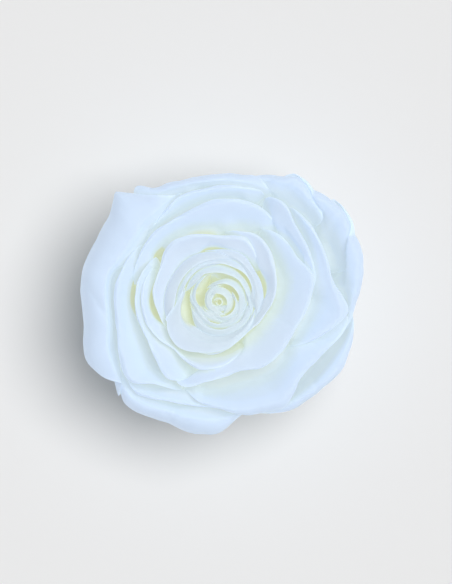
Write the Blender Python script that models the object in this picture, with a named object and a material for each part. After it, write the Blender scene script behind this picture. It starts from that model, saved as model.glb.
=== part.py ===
"""A preserved rose head, standing face up on its cut stem and its five sepals.

Every petal is one thin closed shell. The rose is grown in layers from its heart outwards: each petal is
first drawn from its ribs, and is then eased outwards until it clears all the petals that lie inside it.

Sizes are in millimetres. Heights and radii are measured from the middle of the cut stem, and angles
turn from +X towards +Y. At the end the whole rose is moved sideways, so that its outline is centred on
the origin. Run it with: blender --background --python part.py
"""
import math
from typing import NamedTuple

import bmesh
import bpy
import numpy as np
from mathutils import Matrix

MM = 0.001  # metres in a millimetre
SHARP_ANGLE = math.radians(50)  # edges that turn by more stay sharp when shaded

# Petals
PETAL_THICKNESS = 0.34
PETAL_GAP = 0.42  # air kept between the middle surfaces' skins of two petals
LEAST_GAP = 0.2  # which a facet may come down to
CLEARINGS = 4  # rounds in which the facets are moved clear
FACET_ROWS = 24  # samples taken along a facet to measure how near it comes
FACET_COLUMNS = 16
COLUMN_ANGLE = 15.0  # widest step between two columns of a petal's mesh
FEWEST_COLUMNS = 6
ROLLED_ROWS = 9  # a third of them on the body, a third on the slope and a third on the roll
CLOSED_ROWS = 6  # half of them on the body
CORNER_DROP = 0.45  # share of its length that a petal loses at its corners
CORNER_POWER = 5.0  # higher makes tighter corners
CLAW_HALF_WIDTH = 1.1  # at the foot of a petal
CLAW_SHARE = 0.4  # of a narrow petal's angle, the most that half of its claw may take
WIDENING_POWER = 1.0  # under 1, a petal gets wide soon above its claw
BELLY_OUT = 0.3  # share of its way out that a petal's body aims at by BELLY_LOW of its rise
BELLY_LOW = 0.2
BELLY_HIGH = 0.5  # share of its rise from which it aims at its full radius
EASING = 0.3  # rounds the bend where a petal leaves the one inside it

# Receptacle: the stem's stub, the hip and the dome that the petals stand on
STEM_RADIUS = 3.2
STEM_TOP = 2.0
HIP_RADIUS = 7.2
HIP_HEIGHT = 6.4
DOME_TOP = 11.5
DOME_RINGS = 7
HIP_RINGS = 5
RECEPTACLE_SIDES = 32
FOOT_GAP = 0.3  # air between a claw and the dome
INNERMOST_FOOT = 0.7  # radius
OUTERMOST_FOOT = 7.1
FOOT_STEP = 0.05

# Sepals
SEPAL_COUNT = 5
SEPAL_FIRST_ANGLE = 20.0
SEPAL_THICKNESS = 0.6
SEPAL_FOOT_HALF_WIDTH = 2.25
SEPAL_SWELL = 2.7  # how much wider than its foot its sides would get by the tip, if they didn't close
SEPAL_TIP_HALF_WIDTH = 0.25
SEPAL_POINT_POWER = 0.6  # lower makes a blunter tip
SEPAL_FOOT_HEIGHT = 5.4
SEPAL_REACH = 20.5  # from the axis to the tip
SEPAL_KEEL = 0.9  # how far the sides stand above the midrib
SEPAL_ROWS = 8
SEPAL_COLUMNS = 4

# Colours, from the heart of the rose to its outermost petals
HEART_COLOUR = (0.72, 0.80, 0.66)
RIM_COLOUR = (0.68, 0.84, 0.96)
CALYX_COLOUR = (0.24, 0.32, 0.16)
PETAL_ROUGHNESS = 0.7
CALYX_ROUGHNESS = 0.8


class Rib(NamedTuple):
    """One rib of a rolled petal: its angle, then the radii and heights of its throat, crest and margin."""

    angle: float
    throat: float
    crest: float
    edge: float
    crest_height: float
    edge_height: float


class RimRib(NamedTuple):
    """One rib of a closed petal of the heart: its angle, the radii of its rim and belly, its height."""

    angle: float
    rim: float
    belly: float
    rim_height: float


class Petal(NamedTuple):
    name: str
    depth: float  # from the crest down to the throat, or from the rim down to the belly
    ribs: tuple


HEART = (
    Petal("heart_curl", 2.5, (
        RimRib(185, 0.45, 0.5, 39.4), RimRib(290, 0.5, 0.5, 39.8), RimRib(395, 0.45, 0.5, 39.4),
    )),
    Petal("heart_left", 3.0, (
        RimRib(95, 1.3, 1.5, 39.4), RimRib(150, 1.15, 1.5, 40.2), RimRib(200, 1.1, 1.5, 40.4),
        RimRib(260, 1.15, 1.5, 40.3), RimRib(350, 1.5, 1.7, 39.2),
    )),
    Petal("heart_right", 3.5, (
        RimRib(-35, 1.9, 2.3, 39.8), RimRib(20, 1.85, 2.8, 40.8), RimRib(70, 1.85, 3.0, 41.0),
        RimRib(110, 1.85, 2.6, 40.8), RimRib(150, 2.0, 2.2, 40.0),
    )),
    Petal("eye_left", 4.0, (
        RimRib(95, 3.4, 3.5, 39.8), RimRib(120, 3.1, 3.3, 40.8), RimRib(140, 2.8, 3.2, 41.1),
        RimRib(180, 2.35, 2.8, 41.2), RimRib(220, 2.05, 2.6, 41.2), RimRib(250, 2.0, 2.5, 41.0),
        RimRib(300, 2.4, 2.6, 40.0),
    )),
    Petal("eye_lower_right", 4.0, (
        RimRib(205, 2.8, 3.0, 40.2), RimRib(235, 2.75, 3.2, 41.0), RimRib(275, 2.9, 3.6, 41.4),
        RimRib(320, 3.25, 4.0, 41.5), RimRib(365, 3.3, 4.0, 41.2), RimRib(395, 3.3, 3.7, 40.0),
    )),
    Petal("eye_upper_right", 5.0, (
        RimRib(-20, 4.1, 4.7, 40.2), RimRib(10, 4.3, 5.4, 41.4), RimRib(40, 4.4, 5.8, 41.8),
        RimRib(75, 4.4, 5.9, 41.8), RimRib(105, 4.1, 5.2, 41.2), RimRib(130, 3.9, 4.4, 40.0),
    )),
    Petal("coil_left", 5.0, (
        RimRib(105, 6.1, 6.2, 39.8), RimRib(125, 5.8, 6.3, 41.2), RimRib(150, 5.3, 6.0, 41.8),
        RimRib(175, 4.8, 5.4, 41.9), RimRib(198, 3.9, 4.6, 41.8), RimRib(230, 3.45, 4.2, 41.4),
        RimRib(280, 3.8, 4.2, 40.2),
    )),
    Petal("coil_lower", 5.0, (
        RimRib(160, 5.9, 6.1, 40.4), RimRib(185, 5.2, 5.9, 41.6), RimRib(215, 4.4, 5.4, 42.0),
        RimRib(255, 4.4, 5.4, 42.0), RimRib(295, 4.4, 5.4, 41.7), RimRib(340, 4.6, 5.0, 40.4),
    )),
    Petal("coil_bottom", 5.0, (
        RimRib(155, 6.6, 6.8, 40.4), RimRib(175, 6.3, 6.6, 41.6), RimRib(205, 5.5, 6.5, 42.1),
        RimRib(245, 5.4, 6.8, 42.2), RimRib(290, 5.4, 7.0, 42.0), RimRib(345, 5.4, 6.2, 40.6),
    )),
    Petal("coil_top", 5.0, (
        RimRib(-15, 6.4, 6.6, 40.4), RimRib(20, 6.2, 6.8, 41.8), RimRib(60, 6.2, 7.4, 42.3),
        RimRib(95, 6.2, 7.6, 42.4), RimRib(125, 6.9, 7.6, 42.0), RimRib(148, 7.0, 7.3, 40.8),
    )),
)

CUP = (
    Petal("cup_lower_left", 6.0, (
        Rib(138, 7.6, 7.8, 8.1, 40.6, 40.0), Rib(155, 7.65, 8.2, 8.8, 42.0, 41.6),
        Rib(180, 8.0, 8.7, 9.2, 42.3, 41.8), Rib(200, 8.35, 9.8, 12.0, 42.5, 41.4),
        Rib(222, 8.3, 10.2, 12.6, 42.7, 41.4), Rib(250, 7.8, 9.6, 11.2, 42.8, 41.8),
        Rib(280, 7.4, 8.6, 9.9, 42.6, 41.8), Rib(305, 6.8, 7.6, 8.2, 42.2, 41.6),
        Rib(333, 6.5, 6.9, 7.2, 40.6, 40.2),
    )),
)

CLOSED_CUP = (
    Petal("cup_top", 5.0, (
        RimRib(0, 6.9, 7.1, 40.8), RimRib(20, 7.3, 8.2, 42.2), RimRib(45, 8.2, 9.1, 42.7),
        RimRib(90, 8.2, 9.4, 42.8), RimRib(125, 8.4, 9.2, 42.6), RimRib(153, 8.3, 8.6, 41.2),
    )),
    Petal("cup_upper_left", 6.0, (
        RimRib(70, 9.2, 9.6, 41.0), RimRib(95, 9.35, 10.4, 42.6), RimRib(130, 9.55, 11.2, 42.9),
        RimRib(185, 9.55, 11.2, 42.7), RimRib(222, 9.7, 10.2, 41.0),
    )),
    Petal("cup_right", 6.0, (
        RimRib(-20, 7.3, 7.6, 40.4), RimRib(5, 7.6, 8.8, 42.0), RimRib(25, 8.2, 9.4, 42.5),
        RimRib(50, 9.6, 10.5, 42.6), RimRib(75, 10.1, 10.8, 42.4), RimRib(95, 10.1, 10.5, 41.2),
    )),
)

WHORL = (
    Petal("whorl_upper_left", 5.0, (
        Rib(49, 11.8, 12.6, 13.6, 38.6, 38.0), Rib(64, 11.2, 13.0, 14.9, 41.8, 40.6),
        Rib(85, 11.3, 12.7, 14.2, 42.5, 41.2), Rib(110, 12.0, 13.5, 15.2, 42.6, 41.2),
        Rib(130, 12.2, 14.0, 16.1, 42.4, 41.0), Rib(150, 12.1, 13.4, 14.5, 42.4, 41.2),
        Rib(180, 11.9, 13.0, 13.8, 42.1, 41.2), Rib(202, 11.7, 12.5, 13.0, 40.8, 40.2),
    )),
    Petal("whorl_right", 5.0, (
        Rib(-85, 7.8, 8.5, 9.1, 37.8, 37.4), Rib(-65, 7.6, 8.4, 9.0, 40.6, 40.2),
        Rib(-45, 7.6, 8.3, 8.7, 42.3, 41.8), Rib(-20, 8.3, 9.2, 9.8, 42.8, 42.1),
        Rib(8, 10.1, 11.2, 12.1, 43.0, 42.0), Rib(34, 10.7, 12.6, 14.1, 43.0, 41.8),
        Rib(60, 13.5, 15.2, 16.9, 42.2, 40.8), Rib(78, 15.8, 17.2, 18.5, 40.4, 39.2),
        Rib(92, 16.6, 17.4, 18.0, 36.4, 35.8),
    )),
    Petal("whorl_left_strip", 4.5, (
        Rib(192, 13.0, 13.3, 13.5, 39.8, 39.4), Rib(206, 12.9, 13.2, 13.6, 41.0, 40.6),
        Rib(225, 12.9, 13.2, 13.6, 41.2, 40.6), Rib(240, 12.6, 13.6, 14.2, 41.2, 40.4),
        Rib(256, 12.0, 13.8, 15.0, 41.0, 40.0), Rib(272, 11.5, 13.4, 14.9, 40.6, 39.6),
        Rib(290, 11.2, 12.6, 13.8, 39.0, 38.2),
    )),
)

MIDDLE = (
    Petal("middle_left", 5.5, (
        Rib(146, 15.8, 16.3, 16.6, 39.6, 39.0), Rib(157, 15.4, 16.4, 17.3, 41.0, 40.0),
        Rib(180, 14.9, 16.2, 17.7, 41.6, 40.2), Rib(210, 14.2, 15.7, 17.2, 41.4, 40.0),
        Rib(224, 14.2, 16.2, 18.0, 41.0, 39.6), Rib(236, 14.6, 17.4, 19.4, 40.0, 38.4),
        Rib(251, 15.2, 16.8, 17.6, 36.0, 35.4),
    )),
    Petal("middle_lower_right", 6.0, (
        Rib(-121, 15.6, 18.8, 19.8, 38.0, 37.0), Rib(-112, 14.4, 18.0, 19.6, 39.4, 38.0),
        Rib(-100, 12.6, 15.8, 17.4, 40.4, 38.6), Rib(-75, 10.8, 14.2, 15.1, 40.8, 39.6),
        Rib(-55, 9.9, 15.3, 16.6, 41.0, 39.4), Rib(-25, 10.4, 15.6, 17.0, 41.0, 39.4),
        Rib(0, 12.2, 17.5, 19.0, 40.6, 38.8), Rib(16, 13.8, 19.5, 20.9, 39.8, 38.2),
        Rib(28, 14.3, 18.6, 19.4, 39.6, 38.6), Rib(45, 14.8, 18.6, 19.3, 39.2, 38.2),
        Rib(60, 17.4, 18.3, 18.8, 37.6, 37.0),
    )),
    Petal("middle_top_left", 5.5, (
        Rib(50, 19.4, 20.0, 20.6, 34.0, 33.4), Rib(66, 19.1, 20.8, 22.2, 39.0, 37.4),
        Rib(80, 18.2, 20.2, 22.2, 40.4, 38.6), Rib(95, 15.9, 19.0, 21.4, 40.8, 38.6),
        Rib(115, 16.4, 18.6, 20.1, 40.6, 38.8), Rib(140, 16.9, 18.6, 20.0, 40.2, 38.8),
        Rib(155, 17.6, 18.6, 19.4, 39.4, 38.2), Rib(168, 18.0, 18.3, 18.7, 36.4, 35.8),
    )),
    Petal("middle_upper_right", 5.5, (
        Rib(8, 18.5, 19.8, 20.8, 36.4, 35.4), Rib(20, 19.3, 20.6, 21.5, 38.4, 37.2),
        Rib(32, 19.4, 21.1, 22.1, 39.4, 38.0), Rib(45, 19.6, 22.2, 23.2, 39.6, 38.2),
        Rib(57, 20.2, 24.0, 25.2, 38.8, 37.4), Rib(66, 23.2, 24.4, 25.2, 36.4, 35.4),
    )),
    Petal("outer_left", 6.5, (
        Rib(143, 19.9, 20.3, 20.8, 36.6, 36.0), Rib(153, 19.1, 20.4, 21.5, 38.8, 37.4),
        Rib(168, 18.3, 20.4, 22.0, 39.6, 37.8), Rib(195, 17.8, 20.4, 22.4, 39.6, 37.6),
        Rib(210, 17.8, 21.2, 24.0, 39.0, 36.8), Rib(222, 18.6, 23.0, 25.2, 38.4, 36.6),
        Rib(231, 19.0, 21.2, 22.2, 38.0, 37.0), Rib(247, 19.6, 20.1, 20.5, 36.0, 35.4),
    )),
)

OUTER = (
    Petal("outer_right", 6.5, (
        Rib(-31, 17.4, 18.0, 18.4, 36.0, 35.4), Rib(-22, 17.6, 20.2, 21.6, 37.6, 35.6),
        Rib(-12, 18.3, 22.0, 25.2, 37.8, 35.0), Rib(-4, 19.0, 22.6, 27.4, 37.6, 34.2),
        Rib(2, 19.8, 22.9, 26.4, 37.6, 34.6), Rib(9, 20.6, 23.1, 24.9, 37.9, 35.8),
        Rib(25, 21.6, 23.6, 24.9, 38.2, 36.4), Rib(42, 23.0, 24.4, 25.5, 37.6, 36.0),
        Rib(54, 24.2, 25.2, 25.8, 35.4, 34.4),
    )),
    Petal("outer_top", 5.5, (
        Rib(67, 24.0, 25.0, 25.8, 35.2, 34.2), Rib(77, 22.8, 24.0, 25.2, 37.4, 35.8),
        Rib(97, 21.7, 23.0, 24.4, 38.0, 36.2), Rib(110, 20.9, 22.6, 24.0, 37.8, 36.0),
        Rib(124, 20.6, 21.3, 22.0, 36.8, 35.8), Rib(145, 20.8, 21.1, 21.4, 34.0, 33.4),
    )),
    Petal("outer_lower_right", 7.0, (
        Rib(-112, 18.9, 19.3, 19.8, 34.4, 33.6), Rib(-103, 18.5, 20.2, 21.4, 36.6, 35.0),
        Rib(-90, 17.4, 21.0, 22.6, 37.4, 34.6), Rib(-76, 16.2, 21.0, 23.2, 37.8, 33.0),
        Rib(-66, 16.4, 20.8, 24.0, 37.8, 32.0), Rib(-58, 16.9, 21.0, 25.6, 37.8, 31.6),
        Rib(-52, 17.1, 21.3, 24.6, 37.8, 33.6), Rib(-42, 17.6, 21.5, 23.5, 37.8, 35.6),
        Rib(-25, 18.2, 22.4, 25.0, 36.8, 34.4), Rib(-16, 20.6, 24.2, 27.0, 34.8, 32.4),
        Rib(-8, 23.0, 26.0, 28.4, 33.2, 31.2), Rib(-3, 24.6, 26.6, 28.2, 31.4, 30.2),
    )),
    Petal("lower_left_leaf", 7.0, (
        Rib(219, 24.8, 25.2, 25.8, 33.4, 32.6), Rib(228, 23.3, 24.7, 26.0, 35.0, 33.6),
        Rib(245, 20.2, 21.9, 23.3, 35.6, 34.2), Rib(260, 21.0, 21.7, 22.4, 35.0, 33.8),
        Rib(275, 21.9, 22.2, 22.6, 33.0, 32.4),
    )),
)

RIM = (
    Petal("rim_lower_left", 6.0, (
        Rib(212, 25.6, 26.0, 26.6, 29.0, 23.0), Rib(220, 25.8, 26.6, 28.4, 32.6, 22.5),
        Rib(227, 26.0, 27.0, 29.6, 33.6, 22.0), Rib(245, 23.8, 25.2, 27.8, 33.8, 22.0),
        Rib(258, 23.0, 24.8, 28.1, 33.8, 22.0), Rib(270, 22.8, 24.4, 27.5, 33.2, 23.0),
        Rib(278, 23.2, 23.9, 25.0, 31.6, 25.0), Rib(286, 23.4, 23.8, 24.2, 28.6, 25.0),
    )),
    Petal("rim_left", 7.0, (
        Rib(109, 24.2, 24.8, 26.2, 34.2, 32.0), Rib(118, 23.1, 23.6, 27.4, 36.2, 30.0),
        Rib(127, 22.0, 22.6, 29.8, 37.0, 28.0), Rib(133, 21.7, 22.2, 31.8, 37.2, 26.5),
        Rib(141, 21.2, 21.7, 29.9, 37.3, 25.0), Rib(152, 21.2, 21.8, 29.4, 37.4, 24.0),
        Rib(167, 23.5, 24.1, 29.9, 37.4, 23.0), Rib(180, 22.7, 23.3, 29.2, 37.2, 22.5),
        Rib(192, 23.0, 23.7, 29.3, 37.0, 22.5), Rib(203, 24.4, 25.0, 31.0, 36.6, 23.5),
        Rib(210, 25.0, 25.6, 30.3, 35.6, 25.0), Rib(216, 25.6, 26.2, 29.5, 34.4, 26.0),
        Rib(223, 26.2, 26.8, 28.8, 32.8, 27.5),
    )),
    Petal("rim_top", 6.0, (
        Rib(64, 25.3, 26.2, 27.4, 31.6, 28.0), Rib(71, 25.3, 26.0, 28.2, 33.8, 27.0),
        Rib(80, 24.9, 25.9, 27.5, 34.8, 25.0), Rib(100, 24.9, 25.8, 27.1, 35.0, 24.5),
        Rib(112, 25.2, 26.1, 27.7, 34.2, 25.0), Rib(120, 25.8, 26.8, 28.6, 31.6, 25.5),
        Rib(127, 26.4, 27.2, 29.6, 28.6, 26.0),
    )),
    Petal("rim_top_right", 6.0, (
        Rib(51, 26.4, 28.8, 30.4, 31.0, 27.0), Rib(57, 26.3, 29.2, 31.6, 32.8, 26.5),
        Rib(64, 26.0, 28.0, 29.8, 32.8, 25.5), Rib(70, 26.0, 27.2, 28.2, 29.6, 24.0),
    )),
    Petal("rim_upper_right", 6.0, (
        Rib(27, 26.4, 30.6, 31.8, 30.0, 26.0), Rib(33, 26.4, 31.2, 33.0, 32.4, 26.5),
        Rib(40, 26.3, 31.0, 32.6, 33.4, 26.0), Rib(48, 26.3, 30.0, 31.4, 32.6, 25.0),
        Rib(54, 26.5, 28.8, 29.6, 28.6, 23.0),
    )),
    Petal("rim_right", 6.0, (
        Rib(-1, 26.5, 27.8, 28.6, 30.4, 26.5), Rib(4, 26.2, 28.5, 30.2, 32.6, 26.5),
        Rib(12, 25.4, 29.6, 31.6, 33.8, 27.0), Rib(22, 25.5, 30.2, 32.4, 33.8, 26.5),
        Rib(28, 25.8, 30.4, 32.4, 32.4, 25.0), Rib(33, 26.4, 29.4, 30.8, 28.0, 22.0),
    )),
    Petal("rim_lower_right", 6.0, (
        Rib(-64, 25.0, 25.6, 26.2, 28.0, 25.0), Rib(-56, 24.6, 26.0, 27.2, 31.4, 26.0),
        Rib(-42, 24.0, 27.2, 28.6, 32.8, 26.0), Rib(-30, 24.3, 28.2, 29.8, 32.8, 26.0),
        Rib(-22, 25.4, 28.5, 29.8, 32.0, 26.0), Rib(-14, 27.0, 28.9, 29.7, 30.6, 26.0),
        Rib(-5, 28.2, 28.9, 29.4, 28.0, 25.5),
    )),
)

PETALS = HEART + CUP + CLOSED_CUP + WHORL + MIDDLE + OUTER + RIM


def smooth_between(places, values, wanted):
    """A cubic through the values, with the mean of the slopes on either side as its slope at each."""
    places, values = np.asarray(places, float), np.asarray(values, float)
    steps = np.diff(places)
    slopes = np.diff(values) / steps
    tangents = np.concatenate([slopes[:1], (slopes[1:] + slopes[:-1]) / 2, slopes[-1:]])
    span = np.clip(np.searchsorted(places, wanted, side="right") - 1, 0, len(steps) - 1)
    step = steps[span]
    u = (wanted - places[span]) / step
    return (
        (2 * u**3 - 3 * u**2 + 1) * values[span]
        + (u**3 - 2 * u**2 + u) * step * tangents[span]
        + (3 * u**2 - 2 * u**3) * values[span + 1]
        + (u**3 - u**2) * step * tangents[span + 1]
    )


def dome_height(radius):
    """Height of the receptacle's dome at a radius: a quarter of an ellipse from the hip to the top."""
    share = np.clip(np.asarray(radius) / HIP_RADIUS, 0, 1)
    return HIP_HEIGHT + (DOME_TOP - HIP_HEIGHT) * np.sqrt(1 - share**2)


class Reach:
    """How far out the petals laid so far reach, for every direction and height."""

    ANGLE_STEP = 1.5
    HEIGHT_STEP = 0.25
    TOP = 46.0
    STEEPEST = 1.6  # millimetres that the reach may fall for each millimetre of height
    SIDE_FALL = 0.55  # millimetres that it may fall from one direction to the next
    BLURS = 6

    def __init__(self):
        self.shape = (round(360 / self.ANGLE_STEP), round(self.TOP / self.HEIGHT_STEP) + 1)
        self.radius = np.zeros(self.shape)

    def lay(self, points, thickness):
        """Marks the outer skin of a petal, from a grid of points on its middle."""
        dense = denser(denser(points, 0, FACET_ROWS), 1, FACET_COLUMNS)
        angle = np.degrees(np.arctan2(dense[..., 1], dense[..., 0]))
        radius = np.hypot(dense[..., 0], dense[..., 1]) + thickness / 2
        column = np.round(angle / self.ANGLE_STEP).astype(int)
        row = np.clip(np.round(dense[..., 2] / self.HEIGHT_STEP).astype(int), 0, self.shape[1] - 1)
        for aside in (-1, 0, 1):
            np.maximum.at(self.radius, ((column + aside) % self.shape[0], row), radius)

    def eased(self):
        """The reach with its falls above and below each petal, and beside it, made gentle."""
        fall = self.STEEPEST * self.HEIGHT_STEP
        eased = self.radius.copy()
        for row in range(1, self.shape[1]):
            eased[:, row] = np.maximum(eased[:, row], eased[:, row - 1] - fall)
        for row in range(self.shape[1] - 2, -1, -1):
            eased[:, row] = np.maximum(eased[:, row], eased[:, row + 1] - fall)
        for _ in range(self.shape[0] // 4):
            beside = np.maximum(np.roll(eased, 1, axis=0), np.roll(eased, -1, axis=0)) - self.SIDE_FALL
            eased = np.maximum(eased, beside)
        for _ in range(self.BLURS):
            eased = (np.roll(eased, 1, axis=0) + 2 * eased + np.roll(eased, -1, axis=0)) / 4
            eased[:, 1:-1] = (eased[:, :-2] + 2 * eased[:, 1:-1] + eased[:, 2:]) / 4
        return np.maximum(eased, self.radius)

    def at(self, eased, angle, height):
        """The reach read between its cells."""
        across = angle / self.ANGLE_STEP
        up = np.clip(height / self.HEIGHT_STEP, 0, self.shape[1] - 1.001)
        column, row = np.floor(across).astype(int), np.floor(up).astype(int)
        u, v = across - column, up - row
        left, right = column % self.shape[0], (column + 1) % self.shape[0]
        return (
            (1 - u) * ((1 - v) * eased[left, row] + v * eased[left, row + 1])
            + u * ((1 - v) * eased[right, row] + v * eased[right, row + 1])
        )


def denser(points, axis, times):
    """A grid of points with straight steps put between its rows or its columns."""
    points = np.moveaxis(points, axis, 0)
    place = np.linspace(0, len(points) - 1, (len(points) - 1) * times + 1)
    before = np.minimum(place.astype(int), len(points) - 2)
    share = (place - before).reshape(-1, *[1] * (points.ndim - 1))
    return np.moveaxis(points[before] * (1 - share) + points[before + 1] * share, 0, axis)


def cleared(points, reach, room):
    """The grid of points moved outwards until no facet comes too near the petals laid so far."""
    rows, columns = points.shape[:2]
    for _ in range(CLEARINGS):
        dense = denser(denser(points, 0, FACET_ROWS), 1, FACET_COLUMNS)
        angle = np.degrees(np.arctan2(dense[..., 1], dense[..., 0]))
        radius = np.hypot(dense[..., 0], dense[..., 1])
        lack = reach.at(reach.radius, angle, dense[..., 2]) + room - radius
        if lack.max() <= 0:
            break
        grown = points.copy()
        for row in range(rows):
            near_rows = slice(max(0, (row - 1) * FACET_ROWS + 1), (row + 1) * FACET_ROWS)
            for column in range(columns):
                start = max(0, (column - 1) * FACET_COLUMNS + 1)
                near_columns = slice(start, (column + 1) * FACET_COLUMNS)
                push = max(0.0, lack[near_rows, near_columns].max())
                x, y = points[row, column, :2]
                grown[row, column, :2] *= 1 + push / math.hypot(x, y)
        points = grown
    return points


def column_of(ribs, field, angles):
    """One of the ribs' fields, read at any angles between them."""
    return smooth_between([rib.angle for rib in ribs], [getattr(rib, field) for rib in ribs], angles)


def seat(petal, order, reach, eased):
    """The smallest radius at which the petal's claw stands on the dome clear of the others' claws."""
    radius = INNERMOST_FOOT + (OUTERMOST_FOOT - INNERMOST_FOOT) * order / (len(PETALS) - 1)
    middle = (petal.ribs[0].angle + petal.ribs[-1].angle) / 2
    while radius < OUTERMOST_FOOT:
        claw = math.degrees(CLAW_HALF_WIDTH / radius)
        angles = middle + np.linspace(-claw, claw, 5)
        height = dome_height(radius) + FOOT_GAP
        if (reach.at(eased, angles, height) + PETAL_GAP + PETAL_THICKNESS / 2 <= radius).all():
            break
        radius += FOOT_STEP
    return radius


def drawn_petal(petal, foot_radius, across, along):
    """Angle, radius and height of a petal on a grid, before it is eased clear of the others.

    Its body is a cubic Bezier from the claw up to the throat. Then a quarter of an ellipse climbs to
    the crest, and another rolls over and down to the margin. A closed petal's only quarter leans inwards
    to its rim.
    """
    ribs = petal.ribs
    first, last = ribs[0].angle, ribs[-1].angle
    angles = first + (last - first) * across
    closed = isinstance(ribs[0], RimRib)
    if closed:
        neck = column_of(ribs, "belly", angles)
        crest = column_of(ribs, "rim", angles)
        crest_height = column_of(ribs, "rim_height", angles)
        edge = edge_height = crest
    else:
        neck = column_of(ribs, "throat", angles)
        crest = column_of(ribs, "crest", angles)
        edge = column_of(ribs, "edge", angles)
        crest_height = column_of(ribs, "crest_height", angles)
        edge_height = column_of(ribs, "edge_height", angles)
    neck_height = crest_height - petal.depth
    foot_height = dome_height(foot_radius) + FOOT_GAP + PETAL_THICKNESS / 2
    rise = neck_height - foot_height
    spread = neck - foot_radius

    corner = np.abs(2 * across - 1) ** CORNER_POWER
    stage = along[:, None] * (1 - CORNER_DROP * corner) * (2 if closed else 3)
    u = np.clip(stage, 0, 1)
    pull = ((1 - u) ** 3, 3 * (1 - u) ** 2 * u, 3 * (1 - u) * u**2, u**3)
    radius = foot_radius + (BELLY_OUT * pull[1] + pull[2] + pull[3]) * spread
    height = foot_height + (BELLY_LOW * pull[1] + BELLY_HIGH * pull[2] + pull[3]) * rise
    turn = np.clip(stage - 1, 0, 1) * math.pi / 2
    radius += (crest - neck) * (1 - np.cos(turn))
    height += (crest_height - neck_height) * np.sin(turn)
    turn = np.clip(stage - 2, 0, 1) * math.pi / 2
    radius += (edge - crest) * np.sin(turn)
    height += (edge_height - crest_height) * (1 - np.cos(turn))

    middle = (first + last) / 2
    claw = min(math.degrees(CLAW_HALF_WIDTH / foot_radius), CLAW_SHARE * (last - first))
    claw_angles = middle + (2 * across - 1) * claw
    angle = claw_angles + (angles - claw_angles) * np.sin(u * math.pi / 2) ** WIDENING_POWER
    return angle, radius, height


def unit_normals(points):
    """Normals of a grid of points, which look away from the axis where the petal stands upright."""
    down = np.gradient(points, axis=0)
    across = np.gradient(points, axis=1)
    normals = np.cross(across, down)
    return normals / np.linalg.norm(normals, axis=2, keepdims=True)


def round_the_axis(angle, radius, height):
    """Points from their angles, radii and heights."""
    turn = np.radians(angle)
    return np.stack([radius * np.cos(turn), radius * np.sin(turn), height], axis=2)


def eased_petal(petal, foot_radius, reach, eased, across, along):
    """The petal moved out wherever those inside it leave it too little room."""
    angle, radius, height = drawn_petal(petal, foot_radius, across, along)
    least = reach.at(eased, angle, height) + PETAL_GAP + PETAL_THICKNESS / 2
    radius = (radius + least + np.sqrt((radius - least) ** 2 + EASING**2)) / 2
    return angle, radius, height


def shell(name, middle, thickness):
    """A closed shell around a grid of points: one skin on each side, joined round the margin."""
    rows, columns = middle.shape[:2]
    offset = unit_normals(middle) * thickness / 2
    points = np.concatenate([(middle + offset).reshape(-1, 3), (middle - offset).reshape(-1, 3)])
    index = np.arange(rows * columns).reshape(rows, columns)
    quads = np.stack([index[:-1, :-1], index[1:, :-1], index[1:, 1:], index[:-1, 1:]], axis=2)
    quads = quads.reshape(-1, 4)
    margin = np.concatenate([index[0, :-1], index[:-1, -1], index[-1, :0:-1], index[:0:-1, 0]])
    following = np.roll(margin, -1)
    back = rows * columns
    band = np.stack([margin, following, following + back, margin + back], axis=1)
    faces = np.concatenate([quads[:, ::-1], quads + back, band])
    mesh = bpy.data.meshes.new(name)
    mesh.from_pydata((points * MM).tolist(), [], faces.tolist())
    mesh.validate()
    face_up(mesh)
    return mesh


def face_up(mesh):
    """Turns every face of a closed mesh outwards."""
    shape = bmesh.new()
    shape.from_mesh(mesh)
    bmesh.ops.recalc_face_normals(shape, faces=shape.faces)
    shape.to_mesh(mesh)
    shape.free()


def principled(name, colour, roughness):
    """A material of one colour, with no metal in it."""
    material = bpy.data.materials.new(name)
    material.use_nodes = True
    shader = material.node_tree.nodes["Principled BSDF"]
    shader.inputs["Base Color"].default_value = (*colour, 1)
    shader.inputs["Roughness"].default_value = roughness
    shader.inputs["Metallic"].default_value = 0
    return material


def finish(name, mesh, colour, roughness):
    """Shades the mesh round except at its margins, and puts it in the scene with its own material."""
    mesh.shade_smooth()
    mesh.set_sharp_from_angle(angle=SHARP_ANGLE)
    mesh.materials.append(principled(name, colour, roughness))
    bpy.context.scene.collection.objects.link(bpy.data.objects.new(name, mesh))


def build_petals():
    """All the petals, inside out, each seated on the dome and eased clear of those laid before it."""
    reach = Reach()
    hearts, rims = np.array(HEART_COLOUR), np.array(RIM_COLOUR)
    for order, petal in enumerate(PETALS):
        eased = reach.eased()
        foot_radius = seat(petal, order, reach, eased)
        span = petal.ribs[-1].angle - petal.ribs[0].angle
        columns = max(FEWEST_COLUMNS, math.ceil(span / COLUMN_ANGLE))
        rows = CLOSED_ROWS if isinstance(petal.ribs[0], RimRib) else ROLLED_ROWS
        across, along = np.linspace(0, 1, columns + 1), np.linspace(0, 1, rows + 1)
        points = round_the_axis(*eased_petal(petal, foot_radius, reach, eased, across, along))
        points = cleared(points, reach, LEAST_GAP + PETAL_THICKNESS / 2)
        reach.lay(points, PETAL_THICKNESS)
        name = "petal_" + petal.name
        colour = hearts + (rims - hearts) * min(1, order / len(HEART + CUP + CLOSED_CUP + WHORL))
        finish(name, shell(name, points, PETAL_THICKNESS), colour, PETAL_ROUGHNESS)


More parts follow.
